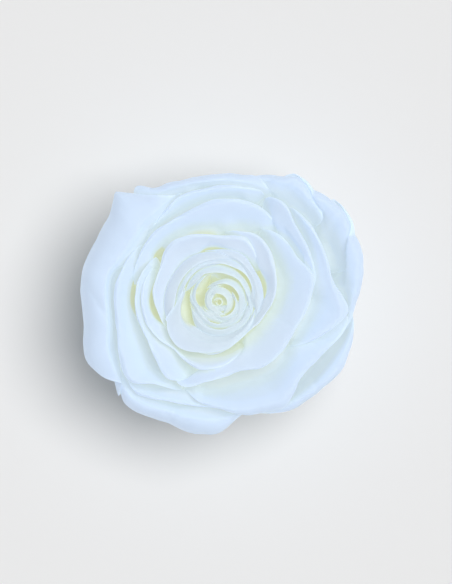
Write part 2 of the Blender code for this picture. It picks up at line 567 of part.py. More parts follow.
def build_receptacle():
    """The stem's stub, the hip and the dome, turned as one solid with a flat cut underneath."""
    dome = np.linspace(0, math.pi / 2, DOME_RINGS + 1)[:-1]
    dome_radius = HIP_RADIUS * np.cos(dome)
    hip = np.linspace(0, 1, HIP_RINGS + 1)[:-1]
    ease = hip * hip * (3 - 2 * hip)
    hip_radius = STEM_RADIUS + (HIP_RADIUS - STEM_RADIUS) * ease
    radii = np.concatenate([[STEM_RADIUS], hip_radius, dome_radius])
    heights = np.concatenate([[0], STEM_TOP + (HIP_HEIGHT - STEM_TOP) * hip, dome_height(dome_radius)])
    turn = np.linspace(0, 2 * math.pi, RECEPTACLE_SIDES, endpoint=False)
    rings = np.stack([np.outer(radii, np.cos(turn)), np.outer(radii, np.sin(turn)),
                      np.repeat(heights[:, None], RECEPTACLE_SIDES, axis=1)], axis=2)
    points = np.vstack([rings.reshape(-1, 3), [[0, 0, DOME_TOP]]])
    index = np.arange(rings.shape[0] * RECEPTACLE_SIDES).reshape(-1, RECEPTACLE_SIDES)
    beside = np.roll(index, -1, axis=1)
    walls = np.stack([index[:-1], beside[:-1], beside[1:], index[1:]], axis=2).reshape(-1, 4)
    top = [(a, b, len(points) - 1) for a, b in zip(index[-1], beside[-1])]
    mesh = bpy.data.meshes.new("receptacle")
    mesh.from_pydata((points * MM).tolist(), [], walls.tolist() + top + [index[0][::-1].tolist()])
    face_up(mesh)
    finish("receptacle", mesh, CALYX_COLOUR, CALYX_ROUGHNESS)


def build_sepal(number):
    """A lance-shaped sepal that leaves the hip, bends down and rests its tip on the surface."""
    along = np.linspace(0, 1, SEPAL_ROWS + 1)[:, None]
    across = np.linspace(-1, 1, SEPAL_COLUMNS + 1)[None, :]
    foot = HIP_RADIUS + FOOT_GAP
    radius = foot + (SEPAL_REACH - foot) * along + 0 * across
    width = SEPAL_FOOT_HALF_WIDTH + SEPAL_SWELL * along
    width = width * (1 - along) ** SEPAL_POINT_POWER + SEPAL_TIP_HALF_WIDTH
    fall = 1 - along * along * (3 - 2 * along)
    height = SEPAL_THICKNESS / 2 + (SEPAL_FOOT_HEIGHT - SEPAL_THICKNESS / 2) * fall
    height = height + SEPAL_KEEL * across**2 * np.sqrt(fall)
    aside = width * across
    turn = math.radians(SEPAL_FIRST_ANGLE + 360 / SEPAL_COUNT * number)
    points = np.stack([radius * math.cos(turn) - aside * math.sin(turn),
                       radius * math.sin(turn) + aside * math.cos(turn), height], axis=2)
    name = f"sepal_{number + 1}"
    finish(name, shell(name, points, SEPAL_THICKNESS), CALYX_COLOUR, CALYX_ROUGHNESS)


def centre_on_origin():
    """Moves every mesh so that the middle of the whole rose's outline stands over the origin."""
    meshes = [thing.data for thing in bpy.context.scene.objects]
    corners = np.array([vertex.co[:2] for mesh in meshes for vertex in mesh.vertices])
    middle = (corners.min(axis=0) + corners.max(axis=0)) / 2
    for mesh in meshes:
        mesh.transform(Matrix.Translation((-middle[0], -middle[1], 0)))


def main():
    for thing in list(bpy.data.objects):
        bpy.data.objects.remove(thing)
    build_petals()
    build_receptacle()
    for number in range(SEPAL_COUNT):
        build_sepal(number)
    centre_on_origin()


main()
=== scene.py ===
# %% [markdown]
# # A preserved rose, face up
#
# A preserved rose is a real bloom whose sap was swapped for glycerine and dye, so it stays soft and pale
# for years. This lesson dresses its packed solids. The solids hold the right sizes but are plain shells of
# even thickness. Here every petal is laid again with a thin waved margin, soft crinkles and veins, and the
# hip, the cut stem and the five sepals get their own fine surfaces.
#
# Everything is in metres in the solids' own frame, and each new piece hides the solid it stands for.

import math
from typing import NamedTuple

import bpy
import numpy as np
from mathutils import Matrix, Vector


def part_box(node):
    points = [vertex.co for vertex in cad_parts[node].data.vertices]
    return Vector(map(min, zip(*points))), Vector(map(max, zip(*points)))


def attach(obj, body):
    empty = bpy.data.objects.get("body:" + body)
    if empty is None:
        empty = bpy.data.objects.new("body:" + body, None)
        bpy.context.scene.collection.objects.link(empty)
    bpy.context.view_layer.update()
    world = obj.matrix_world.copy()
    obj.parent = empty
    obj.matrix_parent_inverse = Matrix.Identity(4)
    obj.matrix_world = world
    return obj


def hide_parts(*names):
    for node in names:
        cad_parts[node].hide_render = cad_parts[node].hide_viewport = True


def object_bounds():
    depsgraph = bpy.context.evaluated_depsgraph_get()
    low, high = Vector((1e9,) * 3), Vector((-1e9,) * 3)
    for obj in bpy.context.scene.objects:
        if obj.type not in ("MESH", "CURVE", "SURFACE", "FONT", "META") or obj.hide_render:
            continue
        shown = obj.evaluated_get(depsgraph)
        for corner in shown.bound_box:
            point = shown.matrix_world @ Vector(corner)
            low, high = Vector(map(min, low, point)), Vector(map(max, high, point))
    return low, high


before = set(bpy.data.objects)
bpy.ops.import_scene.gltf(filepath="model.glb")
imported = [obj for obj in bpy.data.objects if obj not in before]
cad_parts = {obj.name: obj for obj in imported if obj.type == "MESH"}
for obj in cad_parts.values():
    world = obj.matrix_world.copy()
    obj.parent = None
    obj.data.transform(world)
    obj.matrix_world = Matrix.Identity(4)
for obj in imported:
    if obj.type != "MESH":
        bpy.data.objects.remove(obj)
solid_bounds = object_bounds()
MM = 0.001  # metres in a millimetre

low, high = (np.array(corner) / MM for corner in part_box("receptacle"))
AXIS = (low + high)[:2] / 2  # where the stem's middle stands, in millimetres
DOME_TOP = high[2]
HIP_RADIUS = (high - low)[0] / 2
print(len(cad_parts), "solids; stem axis at", AXIS.round(2), "mm; dome top at", DOME_TOP.round(2), "mm")

# %% [markdown]
# ## How a petal is described
#
# A rose petal grows up from a narrow claw on the hip. It swells into a belly, narrows at the throat, leans
# out to its crest, and rolls over to its margin. It could be sculpted, or cut from a subdivided plane. A
# table of ribs was chosen: each rib says how far out the petal passes in one direction, so the spiral of a
# rose can be written down petal by petal, and one function turns every row into a surface.

# %% Ribs
class Rib(NamedTuple):
    """One rib of a rolled petal: its angle, then the radii and heights of its throat, crest and margin."""

    angle: float
    throat: float
    crest: float
    edge: float
    crest_height: float
    edge_height: float


class RimRib(NamedTuple):
    """One rib of a closed petal: its angle, the radii of its rim and belly, and the height of its rim."""

    angle: float
    rim: float
    belly: float
    rim_height: float


class Petal(NamedTuple):
    """Its name, how deep its throat lies under its crest, and its ribs. All in millimetres and degrees."""

    name: str
    depth: float
    ribs: tuple


def open_petal(name, depth, *ribs):
    """A petal that rolls over at its margin, from its ribs' numbers in the order that Rib gives."""
    return Petal(name, depth, tuple(Rib(*rib) for rib in ribs))


def closed_petal(name, depth, *ribs):
    """A petal that still leans inwards, from its ribs' numbers in the order that RimRib gives."""
    return Petal(name, depth, tuple(RimRib(*rib) for rib in ribs))


print("a rib of an open petal holds", Rib._fields)

# %% [markdown]
# ## The heart
#
# Ten small petals are still closed round the middle. Their rims lean inwards and overlap like the leaves of
# a bud, and each one shows only as a thin pale line over a deep, yellow-green gap. One coiled strip could
# stand for them all, but only separate petals begin, overlap and end as real ones do.

# %% Heart petals
HEART = (
    closed_petal("heart_curl", 1,
        (160, 0.35, 0.4, 38.6), (250, 0.45, 0.6, 38.9), (340, 0.6, 0.8, 39.2), (430, 0.75, 0.95, 39.4),
        (520, 0.85, 1.1, 39.4),
    ),
    closed_petal("heart_left", 1.2,
        (95, 1.5, 2.6, 40), (140, 1.45, 2.6, 40.4), (180, 1.35, 2.4, 40.5), (220, 1.25, 2, 40.5),
        (260, 1.25, 1.8, 40.4), (350, 1.5, 2.2, 40),
    ),
    closed_petal("heart_right", 1.2,
        (-70, 1.8, 2.6, 40.2), (-20, 1.8, 3, 40.7), (20, 1.75, 3.1, 40.9), (70, 1.8, 3.2, 41),
        (110, 1.9, 3.2, 40.9), (150, 2.2, 2.7, 40.5),
    ),
    closed_petal("eye_left", 1.3,
        (80, 3.4, 3.6, 40.6), (120, 3.1, 3.4, 41), (145, 2.75, 3.1, 41.2), (180, 2.4, 2.8, 41.2),
        (220, 2.1, 2.6, 41.2), (250, 2.1, 2.7, 41.1), (300, 2.5, 2.9, 40.6),
    ),
    closed_petal("eye_lower_right", 1.3,
        (200, 2.8, 3.3, 40.9), (235, 2.8, 3.4, 41.2), (262, 2.9, 3.4, 41.3), (290, 3.1, 4.2, 41.4),
        (320, 3.4, 4.4, 41.5), (345, 3.5, 4.4, 41.5), (370, 3.45, 3.8, 41.4), (400, 3.3, 3.6, 40.9),
    ),
    closed_petal("eye_upper_right", 1.5,
        (-45, 4.4, 5.2, 41.2), (-10, 4.5, 5.6, 41.5), (15, 4.5, 5.7, 41.8), (45, 4.5, 5.7, 41.9),
        (70, 4.2, 5.3, 41.8), (90, 3.9, 4.6, 41.5), (108, 3.8, 4.2, 41), (130, 3.7, 3.9, 40),
    ),
    closed_petal("coil_left", 1.5,
        (100, 6.1, 6.3, 41), (113, 6.1, 6.4, 41.6), (130, 5.65, 6.2, 42), (155, 5.25, 5.9, 42.1),
        (175, 4.7, 5.6, 42.1), (200, 3.7, 4.5, 42), (232, 3.35, 4.2, 41.8), (262, 3.5, 4.2, 41.5),
        (300, 4.2, 4.8, 41),
    ),
    closed_petal("coil_lower", 1.5,
        (148, 6.1, 6.3, 40.2), (165, 5.4, 5.7, 41.6), (185, 4.8, 5.3, 42.1), (210, 4.5, 5.3, 42.2),
        (235, 4.5, 5.5, 42.1), (262, 4.4, 5.4, 42), (300, 4.7, 5.6, 41.8), (340, 5.2, 5.9, 41.4),
        (375, 5.6, 5.9, 40.8),
    ),
    closed_petal("coil_bottom", 1.6,
        (184, 5.6, 5.8, 40), (200, 5.6, 5.9, 41.6), (212, 5.6, 6.3, 42.2), (225, 5.7, 6.8, 42.4),
        (250, 5.7, 7.2, 42.4), (290, 5.8, 7.2, 42.2), (330, 6.2, 7.2, 42), (365, 6.4, 6.8, 41.2),
    ),
    closed_petal("coil_top", 1.6,
        (-30, 6.6, 7.2, 41.4), (0, 6.3, 6.9, 42.1), (20, 6.2, 7.1, 42.3), (50, 6.3, 7.4, 42.5),
        (75, 6.2, 7.8, 42.6), (105, 6.4, 8, 42.6), (125, 6.7, 7.8, 42.4), (145, 7, 7.6, 42.1),
        (162, 7.1, 7.4, 40.8),
    ),
)
print(len(HEART), "petals in the heart")

# %% [markdown]
# ## The cup
#
# Four petals hold the heart. One of them has opened and leans out to the lower left, while the others are
# still upright, so the cup takes both kinds of ribs.

# %% Cup petals
CUP = (
    open_petal("cup_lower_left", 6,
        (154, 7.6, 7.7, 8, 41.2, 41), (170, 7.7, 7.85, 8.6, 42.4, 42), (185, 8, 8.15, 9.6, 42.9, 42),
        (200, 8.2, 8.6, 11.8, 43, 41.6), (222, 8.3, 8.8, 12.6, 43, 41.4), (250, 8, 8.7, 11.2, 43, 41.9),
        (280, 7.6, 8.4, 9.9, 42.9, 42), (305, 7.2, 7.8, 8.6, 42.6, 42), (330, 7.2, 7.7, 8.3, 42.2, 41.8),
        (350, 7.4, 7.8, 8.2, 41.6, 41.2),
    ),
)

CLOSED_CUP = (
    closed_petal("cup_top", 1.8,
        (-15, 7.2, 8, 41.6), (5, 7.1, 8, 42.3), (25, 7.6, 8.4, 42.6), (45, 8.1, 9.4, 42.8),
        (72, 8.15, 9.5, 42.9), (100, 8.3, 9.3, 42.9), (125, 8.35, 9.3, 42.8), (150, 7.9, 9, 42.8),
        (170, 7.8, 9, 42.6), (190, 8.6, 9.2, 41.6),
    ),
    closed_petal("cup_upper_left", 1.8,
        (55, 9.3, 9.8, 41.8), (78, 9.9, 10.4, 42.6), (95, 9.35, 10.7, 42.9), (120, 9.2, 11.2, 43.1),
        (145, 9.1, 11.2, 43.1), (175, 9.3, 11.4, 43), (200, 9.8, 11.4, 42.6), (220, 10.6, 11.2, 41.4),
    ),
    closed_petal("cup_right", 1.8,
        (-30, 8, 8.4, 41.6), (0, 8.1, 9.3, 42.4), (25, 8.6, 9.8, 42.7), (45, 9.2, 10.2, 42.9),
        (62, 9.7, 11.2, 42.9), (85, 10.2, 11.2, 42.6), (105, 10.6, 10.9, 41.6),
    ),
)
print(len(CUP) + len(CLOSED_CUP), "petals in the cup")

# %% [markdown]
# ## The whorl and the middle
#
# From here outwards the petals are open. Each overlaps the next, so that their crests draw the rose's
# five-sided swirl. One petal could be copied round the middle, but no two grow alike, and a copied petal
# looks like a paper flower. So each has its own ribs.

# %% Whorl and middle petals
WHORL = (
    open_petal("whorl_upper_left", 5,
        (38, 10.6, 11, 11.4, 38.6, 38.2), (51, 11, 11.9, 12.7, 41, 40.4), (66, 11.2, 12.9, 14.6, 42.2, 41),
        (85, 11.3, 12.7, 14.2, 42.5, 41.2), (110, 12, 13.5, 15.2, 42.6, 41.2),
        (130, 12.2, 14, 16.1, 42.4, 41), (150, 12.1, 13.4, 14.5, 42.4, 41.2),
        (175, 11.9, 13, 13.8, 42.1, 41.2), (190, 11.7, 12.4, 13, 41.8, 41),
        (205, 11.6, 12.1, 12.6, 40.8, 40.2),
    ),
    open_petal("whorl_right", 5,
        (-126, 10.4, 11, 11.6, 37.4, 37), (-110, 9.8, 10.8, 11.4, 39.4, 39),
        (-95, 9.2, 10.3, 10.9, 40.8, 40.4), (-80, 8.6, 9.6, 10.2, 41.8, 41.4),
        (-63, 7.8, 8.6, 9.1, 42.2, 41.8), (-42, 7.6, 8.3, 8.7, 42.4, 41.9), (-20, 8.3, 9.2, 9.8, 42.8, 42.1),
        (8, 10.3, 11.2, 12.1, 43, 42), (34, 11.1, 12.6, 14.1, 43, 41.8), (60, 13.2, 15, 16.6, 42.2, 41),
        (72, 13.8, 15, 16, 41.6, 40.8), (85, 14.4, 15, 15.6, 39.8, 39.2),
    ),
    open_petal("whorl_left_strip", 4.5,
        (152, 15, 15.6, 16.2, 39.6, 39.2), (168, 14.7, 15.6, 16.4, 41.2, 40.6),
        (182, 14.5, 15.4, 16.4, 41.6, 40.8), (195, 14.1, 14.9, 16, 41.6, 40.8),
        (206, 13.3, 14.2, 15.3, 41.5, 40.8), (225, 12.9, 13.2, 13.6, 41.2, 40.6),
        (240, 12.6, 13.6, 14.2, 41.2, 40.4), (256, 12, 13.6, 14.7, 41, 40.2),
        (270, 11.4, 12.8, 13.8, 40.6, 39.8), (284, 11, 11.8, 12.5, 39.8, 39.2),
        (300, 10.4, 10.8, 11.2, 38, 37.6),
    ),
)

MIDDLE = (
    open_petal("middle_left", 5.5,
        (144, 16, 16.4, 16.8, 39.2, 38.6), (157, 16, 16.7, 17.4, 40.6, 39.8),
        (180, 16.2, 16.9, 17.6, 41, 40.2), (210, 15.4, 16.3, 17.2, 41, 40), (224, 14.2, 16.2, 18, 41, 39.6),
        (236, 14.6, 17.4, 19.4, 40, 38.4), (251, 15.2, 16.8, 17.6, 36, 35.4),
    ),
    open_petal("middle_lower_right", 6,
        (-121, 15.6, 18.8, 19.8, 38, 37), (-112, 14.4, 18, 19.6, 39.4, 38),
        (-100, 12.6, 15.8, 17.4, 40.4, 38.6), (-75, 10.8, 14.2, 15.1, 40.8, 39.6),
        (-55, 9.9, 15.3, 16.6, 41, 39.4), (-25, 10.4, 15.6, 17, 41, 39.4), (0, 12.2, 17.5, 19, 40.6, 38.8),
        (16, 13.8, 19.5, 20.9, 39.8, 38.2), (28, 14.3, 18.6, 19.4, 39.6, 38.6),
        (45, 14.8, 18.6, 19.3, 39.2, 38.2), (60, 17.4, 18.3, 18.8, 37.6, 37),
    ),
    open_petal("middle_top_left", 5.5,
        (50, 18.6, 19.6, 20.6, 34.6, 34), (66, 17.4, 20.2, 22.2, 39.2, 37.6),
        (80, 16.4, 19.8, 22.2, 40.6, 38.8), (95, 15.7, 19, 21.4, 41, 38.8),
        (115, 16.4, 18.6, 20.1, 40.6, 38.8), (140, 16.9, 18.6, 20, 40.2, 38.8),
        (155, 17.6, 18.6, 19.4, 39.4, 38.2), (168, 18, 18.3, 18.7, 36.4, 35.8),
    ),
    open_petal("middle_upper_right", 5.5,
        (8, 18.5, 19.8, 20.8, 36.4, 35.4), (20, 19.3, 20.6, 21.5, 38.4, 37.2),
        (32, 19.4, 21.1, 22.1, 39.4, 38), (45, 19.6, 22.2, 23.2, 39.6, 38.2),
        (57, 20.2, 24, 25.2, 38.8, 37.4), (66, 23.2, 24.4, 25.2, 36.4, 35.4),
    ),
    open_petal("outer_left", 6.5,
        (143, 19.9, 20.3, 20.8, 36.6, 36), (153, 19.1, 20.4, 21.5, 38.8, 37.4),
        (168, 18.7, 20.4, 22, 39.6, 37.8), (195, 18.1, 20.4, 22.4, 39.6, 37.6),
        (210, 17.8, 21.2, 24, 39, 36.8), (222, 18.6, 23, 25.2, 38.4, 36.6), (231, 19, 21.2, 22.2, 38, 37),
        (247, 19.6, 20.1, 20.5, 36, 35.4),
    ),
)
print(len(WHORL) + len(MIDDLE), "petals in the whorl and the middle")

# %% [markdown]
# ## The outer petals and the rim
#
# The outermost petals are the widest. They roll down over the outside and make the rose's outline, so their
# margins take the most ribs. The groups are kept apart, because each kind rolls in its own way.

# %% Outer and rim petals
OUTER = (
    open_petal("outer_right", 6.5,
        (-31, 17.4, 18, 18.4, 36, 35.4), (-22, 17.6, 20.2, 21.6, 37.6, 35.6), (-12, 18.3, 22, 25.2, 37.8, 35),
        (-4, 19, 22.6, 27.4, 37.6, 34.2), (2, 19.8, 22.9, 26.4, 37.6, 34.6),
        (9, 20.6, 23.1, 24.9, 37.9, 35.8), (25, 21.6, 23.6, 24.9, 38.2, 36.4), (42, 23, 24.4, 25.5, 37.6, 36),
        (54, 24.2, 25.2, 25.8, 35.4, 34.4),
    ),
    open_petal("outer_top", 5.5,
        (67, 24, 25, 25.8, 35.2, 34.2), (77, 22.8, 24, 25.2, 37.4, 35.8), (97, 21.7, 23, 24.4, 38, 36.2),
        (110, 20.9, 22.6, 24, 37.8, 36), (124, 20.6, 21.3, 22, 36.8, 35.8), (145, 20.8, 21.1, 21.4, 34, 33.4),
    ),
    open_petal("outer_lower_right", 7,
        (-112, 18.9, 19.3, 19.8, 34.4, 33.6), (-103, 18.5, 20.2, 21.4, 36.6, 35),
        (-90, 17.4, 21, 22.6, 37.4, 34.6), (-76, 16.2, 21, 24.4, 37.8, 32), (-66, 16.4, 20.8, 25.4, 37.8, 31),
        (-58, 16.9, 21, 26.3, 37.8, 31), (-52, 17.1, 21.3, 25.2, 37.8, 33),
        (-42, 17.6, 21.5, 23.5, 37.8, 35.6), (-25, 18.2, 22.4, 25, 36.8, 34.4),
        (-16, 20.6, 24.2, 27, 34.8, 32.4), (-8, 23, 26, 28.4, 33.2, 31.2), (-3, 24.6, 26.6, 28.2, 31.4, 30.2),
    ),
    open_petal("lower_left_leaf", 7,
        (219, 24.8, 25.2, 25.8, 33.4, 32.6), (228, 23.3, 24.7, 26, 35, 33.6),
        (245, 20.2, 21.9, 23.3, 35.6, 34.2), (260, 21, 21.7, 22.4, 35, 33.8),
        (275, 21.9, 22.2, 22.6, 33, 32.4),
    ),
)

RIM = (
    open_petal("rim_lower_left", 6,
        (212, 25.6, 26, 26.6, 29, 23), (220, 25.8, 26.6, 28.4, 32.6, 22.5), (227, 26, 27, 29.6, 33.6, 22),
        (245, 23.8, 25.2, 28, 33.8, 22), (258, 23, 24.8, 28.6, 33.8, 22), (270, 22.8, 24.4, 27.9, 33.2, 23),
        (278, 23.2, 23.9, 25.8, 31.6, 25), (286, 23.4, 23.8, 25, 28.6, 25),
    ),
    open_petal("rim_left", 7,
        (109, 24.2, 24.8, 26.2, 34.4, 32), (118, 23.1, 23.6, 27.4, 36.6, 31), (126, 22, 22.6, 29.4, 37.6, 29),
        (131, 21.8, 22.3, 31.8, 37.8, 28), (133, 21.7, 22.2, 32.9, 37.8, 28),
        (135, 21.6, 22.1, 32, 37.9, 27.5), (141, 21.2, 21.7, 29.9, 38.1, 26),
        (152, 21.2, 21.8, 29.4, 38.3, 25), (167, 23.1, 23.7, 29.9, 38.4, 24),
        (180, 22.7, 23.3, 29.2, 38.3, 23.5), (192, 22.8, 23.5, 29.6, 38.1, 23.5),
        (203, 24.4, 25, 31.3, 37.4, 24), (210, 25, 25.6, 31.2, 36.2, 25), (216, 25.6, 26.2, 31.1, 34.8, 26),
        (223, 26.2, 26.8, 29.4, 33, 27.5),
    ),
    open_petal("rim_top", 6,
        (64, 25.3, 26.2, 27.8, 31.6, 28), (71, 25.3, 26, 28.7, 33.8, 27), (80, 24.9, 25.9, 27.9, 34.8, 25),
        (100, 24.9, 25.8, 27.1, 35, 24.5), (112, 25.2, 26.1, 27.7, 34.2, 25),
        (120, 25.4, 26.4, 28.2, 32.6, 27), (125.6, 25.8, 26.8, 31, 31.4, 27.5), (129, 26, 26.8, 30, 30.6, 27),
        (136, 26, 26.4, 28.4, 28, 26),
    ),
    open_petal("rim_top_right", 6,
        (38, 26.2, 28.6, 29.2, 31, 29), (48, 26.3, 29, 30.4, 32.2, 29), (57, 26.3, 29.6, 31.6, 32.8, 27.5),
        (64, 26, 28.4, 29.8, 32.8, 26.5), (70, 26, 27.6, 29, 31.8, 26), (80, 25.8, 26.8, 27.2, 29, 26),
    ),
    open_petal("rim_upper_right", 6,
        (14, 26.2, 29.4, 30, 30.6, 29), (25, 26.4, 30.4, 31.2, 31.8, 29), (33, 26.4, 31.2, 33, 32.4, 27.5),
        (40, 26.3, 30.8, 32.6, 32.8, 26.5), (48, 26.3, 30, 31.9, 32.6, 26), (55, 26.5, 28.8, 30, 31.4, 26),
        (64, 26.5, 27.8, 28.4, 28.6, 25),
    ),
    open_petal("rim_right", 6,
        (-12, 27.2, 27.8, 28.8, 28.4, 27), (-2, 26.5, 28, 29.2, 31, 28), (4, 26.2, 28.6, 30.2, 32.6, 27.5),
        (12, 25.4, 29.4, 31.6, 33.4, 27.5), (22, 25.5, 30.2, 32.4, 33.4, 27.5),
        (28, 25.8, 30.4, 32.2, 32.6, 26.5), (34, 26.4, 29.8, 31, 31.4, 26), (44, 26.4, 28.8, 29.4, 28, 25),
    ),
    open_petal("rim_lower_right", 6,
        (-70, 24.8, 25.4, 26, 27.6, 25), (-56, 24.6, 26, 27.6, 31.4, 26), (-42, 24, 27.2, 28.6, 32.8, 26),
        (-30, 24.3, 28.2, 29.8, 32.8, 26), (-22, 25.4, 28.5, 29.8, 32, 26), (-14, 27, 28.9, 29.7, 30.6, 26),
        (-5, 28.2, 28.9, 29.8, 28, 25.5),
    ),
)

PETALS = HEART + CUP + CLOSED_CUP + WHORL + MIDDLE + OUTER + RIM
print(len(PETALS), "petals in all")

# %% [markdown]
# ## Kinds of petals
#
# Petals differ in more than their ribs. Those of the heart are closed, those of the middle roll over late and
# little, and those of the rim fall far down the outside. These numbers could stand in every row, but telling
# the kind from the ribs and the roll from the group keeps the tables short.

# %% Kinds of petals
class Roll(NamedTuple):
    """How an open petal rolls over its crest."""

    crest_shift: float  # how far the crest moves towards the margin, as a share of the way
    kept_fall: float  # how much of the fall in the ribs is kept
    fall_power: int  # the higher, the later the roll falls


CUP_ROLL, RIM_ROLL, MIDDLE_ROLL = Roll(0.0, 0.3, 2), Roll(0.1, 0.6, 4), Roll(0.65, 0.3, 2)


def roll_of(petal):
    """How an open petal rolls: by its group."""
    return CUP_ROLL if petal in CUP else RIM_ROLL if petal in RIM else MIDDLE_ROLL


def kind_of(petal):
    """Whether a petal is closed or open: its ribs say so."""
    return "closed" if isinstance(petal.ribs[0], RimRib) else "open"


def span_of(petal):
    """The angles of a petal's first and last rib."""
    return petal.ribs[0].angle, petal.ribs[-1].angle


print(sum(kind_of(petal) == "closed" for petal in PETALS), "closed petals")

# %% [markdown]
# ## Curves through the ribs
#
# Between two ribs the petal has to pass smoothly. A spline object could do this, but a small cubic formula
# works on whole arrays at once and never overshoots far.

# %% Smooth curve
def smooth_between(places, values, wanted):
    """A cubic through the values, with the mean of the slopes on either side as its slope at each."""
    places, values = np.asarray(places, float), np.asarray(values, float)
    steps = np.diff(places)
    slopes = np.diff(values) / steps
    tangents = np.concatenate([slopes[:1], (slopes[1:] + slopes[:-1]) / 2, slopes[-1:]])
    span = np.clip(np.searchsorted(places, wanted, side="right") - 1, 0, len(steps) - 1)
    step = steps[span]
    u = (wanted - places[span]) / step
    return (
        (2 * u**3 - 3 * u**2 + 1) * values[span]
        + (u**3 - 2 * u**2 + u) * step * tangents[span]
        + (3 * u**2 - 2 * u**3) * values[span + 1]
        + (u**3 - u**2) * step * tangents[span + 1]
    )


def along_ribs(ribs, field, angles):
    """One of the ribs' fields, read at any angles between them."""
    return smooth_between([rib.angle for rib in ribs], [getattr(rib, field) for rib in ribs], angles)


def ease(value, start, end):
    """0 before start, 1 after end, and a smooth S between them."""
    share = np.clip((value - start) / (end - start), 0, 1)
    return share * share * (3 - 2 * share)


print("half way between 1 and 3 the curve is at", smooth_between([0, 1], [1, 3], np.array([0.5]))[0])


# %% [markdown]
# ## Waves along a margin
#
# Any thin thing that has dried waves at its edge: long waves with smaller ones on them. A displacement with
# a noise texture would wave the whole petal. A few sines along the margin are enough, and a seed for each
# petal keeps them the same on every run.

# %% Margin waves
WAVES = ((15.0, 0.5), (8.0, 0.3), (4.2, 0.14), (2.3, 0.06))  # each wave's length and share of the height
WAVE_STRETCH = (0.85, 1.2)
WAVE_HEIGHT = {"closed": 0.25, "open": 0.55}


def margin_wave(length, chance, reach):
    """A sum of sines of falling height, along a margin of that length in millimetres."""
    wave = np.zeros_like(length)
    for wavelength, size in WAVES:
        wavelength *= chance.uniform(*WAVE_STRETCH)
        wave += size * np.sin(2 * np.pi * (length / wavelength + chance.random()))
    return reach * wave


print("waves of", [wavelength for wavelength, _ in WAVES], "mm")

# %% [markdown]
# ## The petal's surface
#
# The surface is a function of two numbers from 0 to 1: across the petal and along it. Its body is a Bezier
# curve from the claw to the throat, then a quarter of an ellipse climbs to the crest, and the roll goes on
# to the margin. A real roll doesn't end straight down, so it is part arch and part parabola.

# %% Petal surface
THICKNESS = 0.24  # of a petal in its body
MARGIN_THICKNESS = 0.07
CORNER_DROP = 0.45  # share of its length that a petal loses at its corners
CORNER_POWER = 5.0
CLAW_HALF_WIDTH = 1.1
CLAW_SHARE = 0.4  # the most of its petal's angle that a claw takes
BELLY_OUT, BELLY_LOW, BELLY_HIGH = 0.3, 0.2, 0.5  # the Bezier curve's handles, as shares of its span
ARCH = 0.35  # share of the roll that is a quarter of an ellipse; the rest is a parabola
SHOULDER = 0.6  # share of the climb that is a quarter of an ellipse; the rest is straight
FOOT_GAP = 0.3  # between a claw and the dome
HIP_HEIGHT = 6.4  # where the hip is widest
WAVE_STAGES = {"closed": (1.2, 2.0), "open": (1.6, 3.0)}  # stages of the petal between which the waves grow
WAVE_OUTWARD, WAVE_LAG = 0.4, 7  # the waves' share of width, and the columns by which it trails the height


def dome_height(radius):
    """Height of the dome under the petals at a radius: a quarter of an ellipse."""
    share = np.clip(radius / HIP_RADIUS, 0, 1)
    return HIP_HEIGHT + (DOME_TOP - HIP_HEIGHT) * np.sqrt(1 - share**2)


def petal_surface(petal, foot, across, along, chance):
    """Angle, radius and height of a petal on a grid, and how deep each point lies under the crest.

    Along the petal, stage 0 to 1 is a Bezier curve, 1 to 2 a quarter of an ellipse mixed with a line, and
    2 to 3 the same mixed with a power. Across it, cubics run through the ribs, and the corners stop short.
    """
    kind = kind_of(petal)
    first, last = span_of(petal)
    angles = first + (last - first) * across
    fields = RimRib._fields[1:] if kind == "closed" else Rib._fields[1:]
    drawn = {field: along_ribs(petal.ribs, field, angles) for field in fields}
    rolling = roll_of(petal)
    if kind == "closed":
        neck, crest, crest_height = drawn["belly"], drawn["rim"], drawn["rim_height"]
        edge, edge_height = crest, crest_height
    else:
        neck, edge, crest_height = drawn["throat"], drawn["edge"], drawn["crest_height"]
        crest = drawn["crest"] + rolling.crest_shift * (edge - drawn["crest"])
        edge_height = crest_height - rolling.kept_fall * (crest_height - drawn["edge_height"])
    length = np.radians(angles - first) * edge.mean()
    wave = margin_wave(length, chance, WAVE_HEIGHT[kind])
    neck_height = crest_height - petal.depth
    foot_height = dome_height(foot) + FOOT_GAP + THICKNESS / 2

    corner = np.abs(2 * across - 1) ** CORNER_POWER
    stage = along[:, None] * (1 - CORNER_DROP * corner) * (2 if kind == "closed" else 3)
    u = np.clip(stage, 0, 1)
    pull = (3 * (1 - u) ** 2 * u, 3 * (1 - u) * u**2, u**3)
    radius = foot + (BELLY_OUT * pull[0] + pull[1] + pull[2]) * (neck - foot)
    rise = BELLY_LOW * pull[0] + BELLY_HIGH * pull[1] + pull[2]
    height = foot_height + rise * (neck_height - foot_height)
    climb = np.clip(stage - 1, 0, 1)
    turn = climb * np.pi / 2
    radius += (crest - neck) * (SHOULDER * (1 - np.cos(turn)) + (1 - SHOULDER) * climb)
    height += (crest_height - neck_height) * (SHOULDER * np.sin(turn) + (1 - SHOULDER) * climb)
    roll = np.clip(stage - 2, 0, 1)
    turn = roll * np.pi / 2
    radius += (edge - crest) * (ARCH * np.sin(turn) + (1 - ARCH) * roll)
    fall = ARCH * (1 - np.cos(turn)) + (1 - ARCH) * roll**rolling.fall_power
    height += (edge_height - crest_height) * fall
    near_margin = ease(stage, *WAVE_STAGES[kind])
    height += wave * near_margin
    radius += WAVE_OUTWARD * np.roll(wave, WAVE_LAG) * near_margin

    claw = min(math.degrees(CLAW_HALF_WIDTH / foot), CLAW_SHARE * (last - first))
    claw_angles = (first + last) / 2 + (2 * across - 1) * claw
    angle = claw_angles + (angles - claw_angles) * np.sin(u * np.pi / 2)
    depth = np.where(stage < 2, np.maximum(crest_height - height, 0), 0)
    return angle, radius, height, depth


print("a petal is", THICKNESS, "mm thick and", MARGIN_THICKNESS, "mm at its margin")

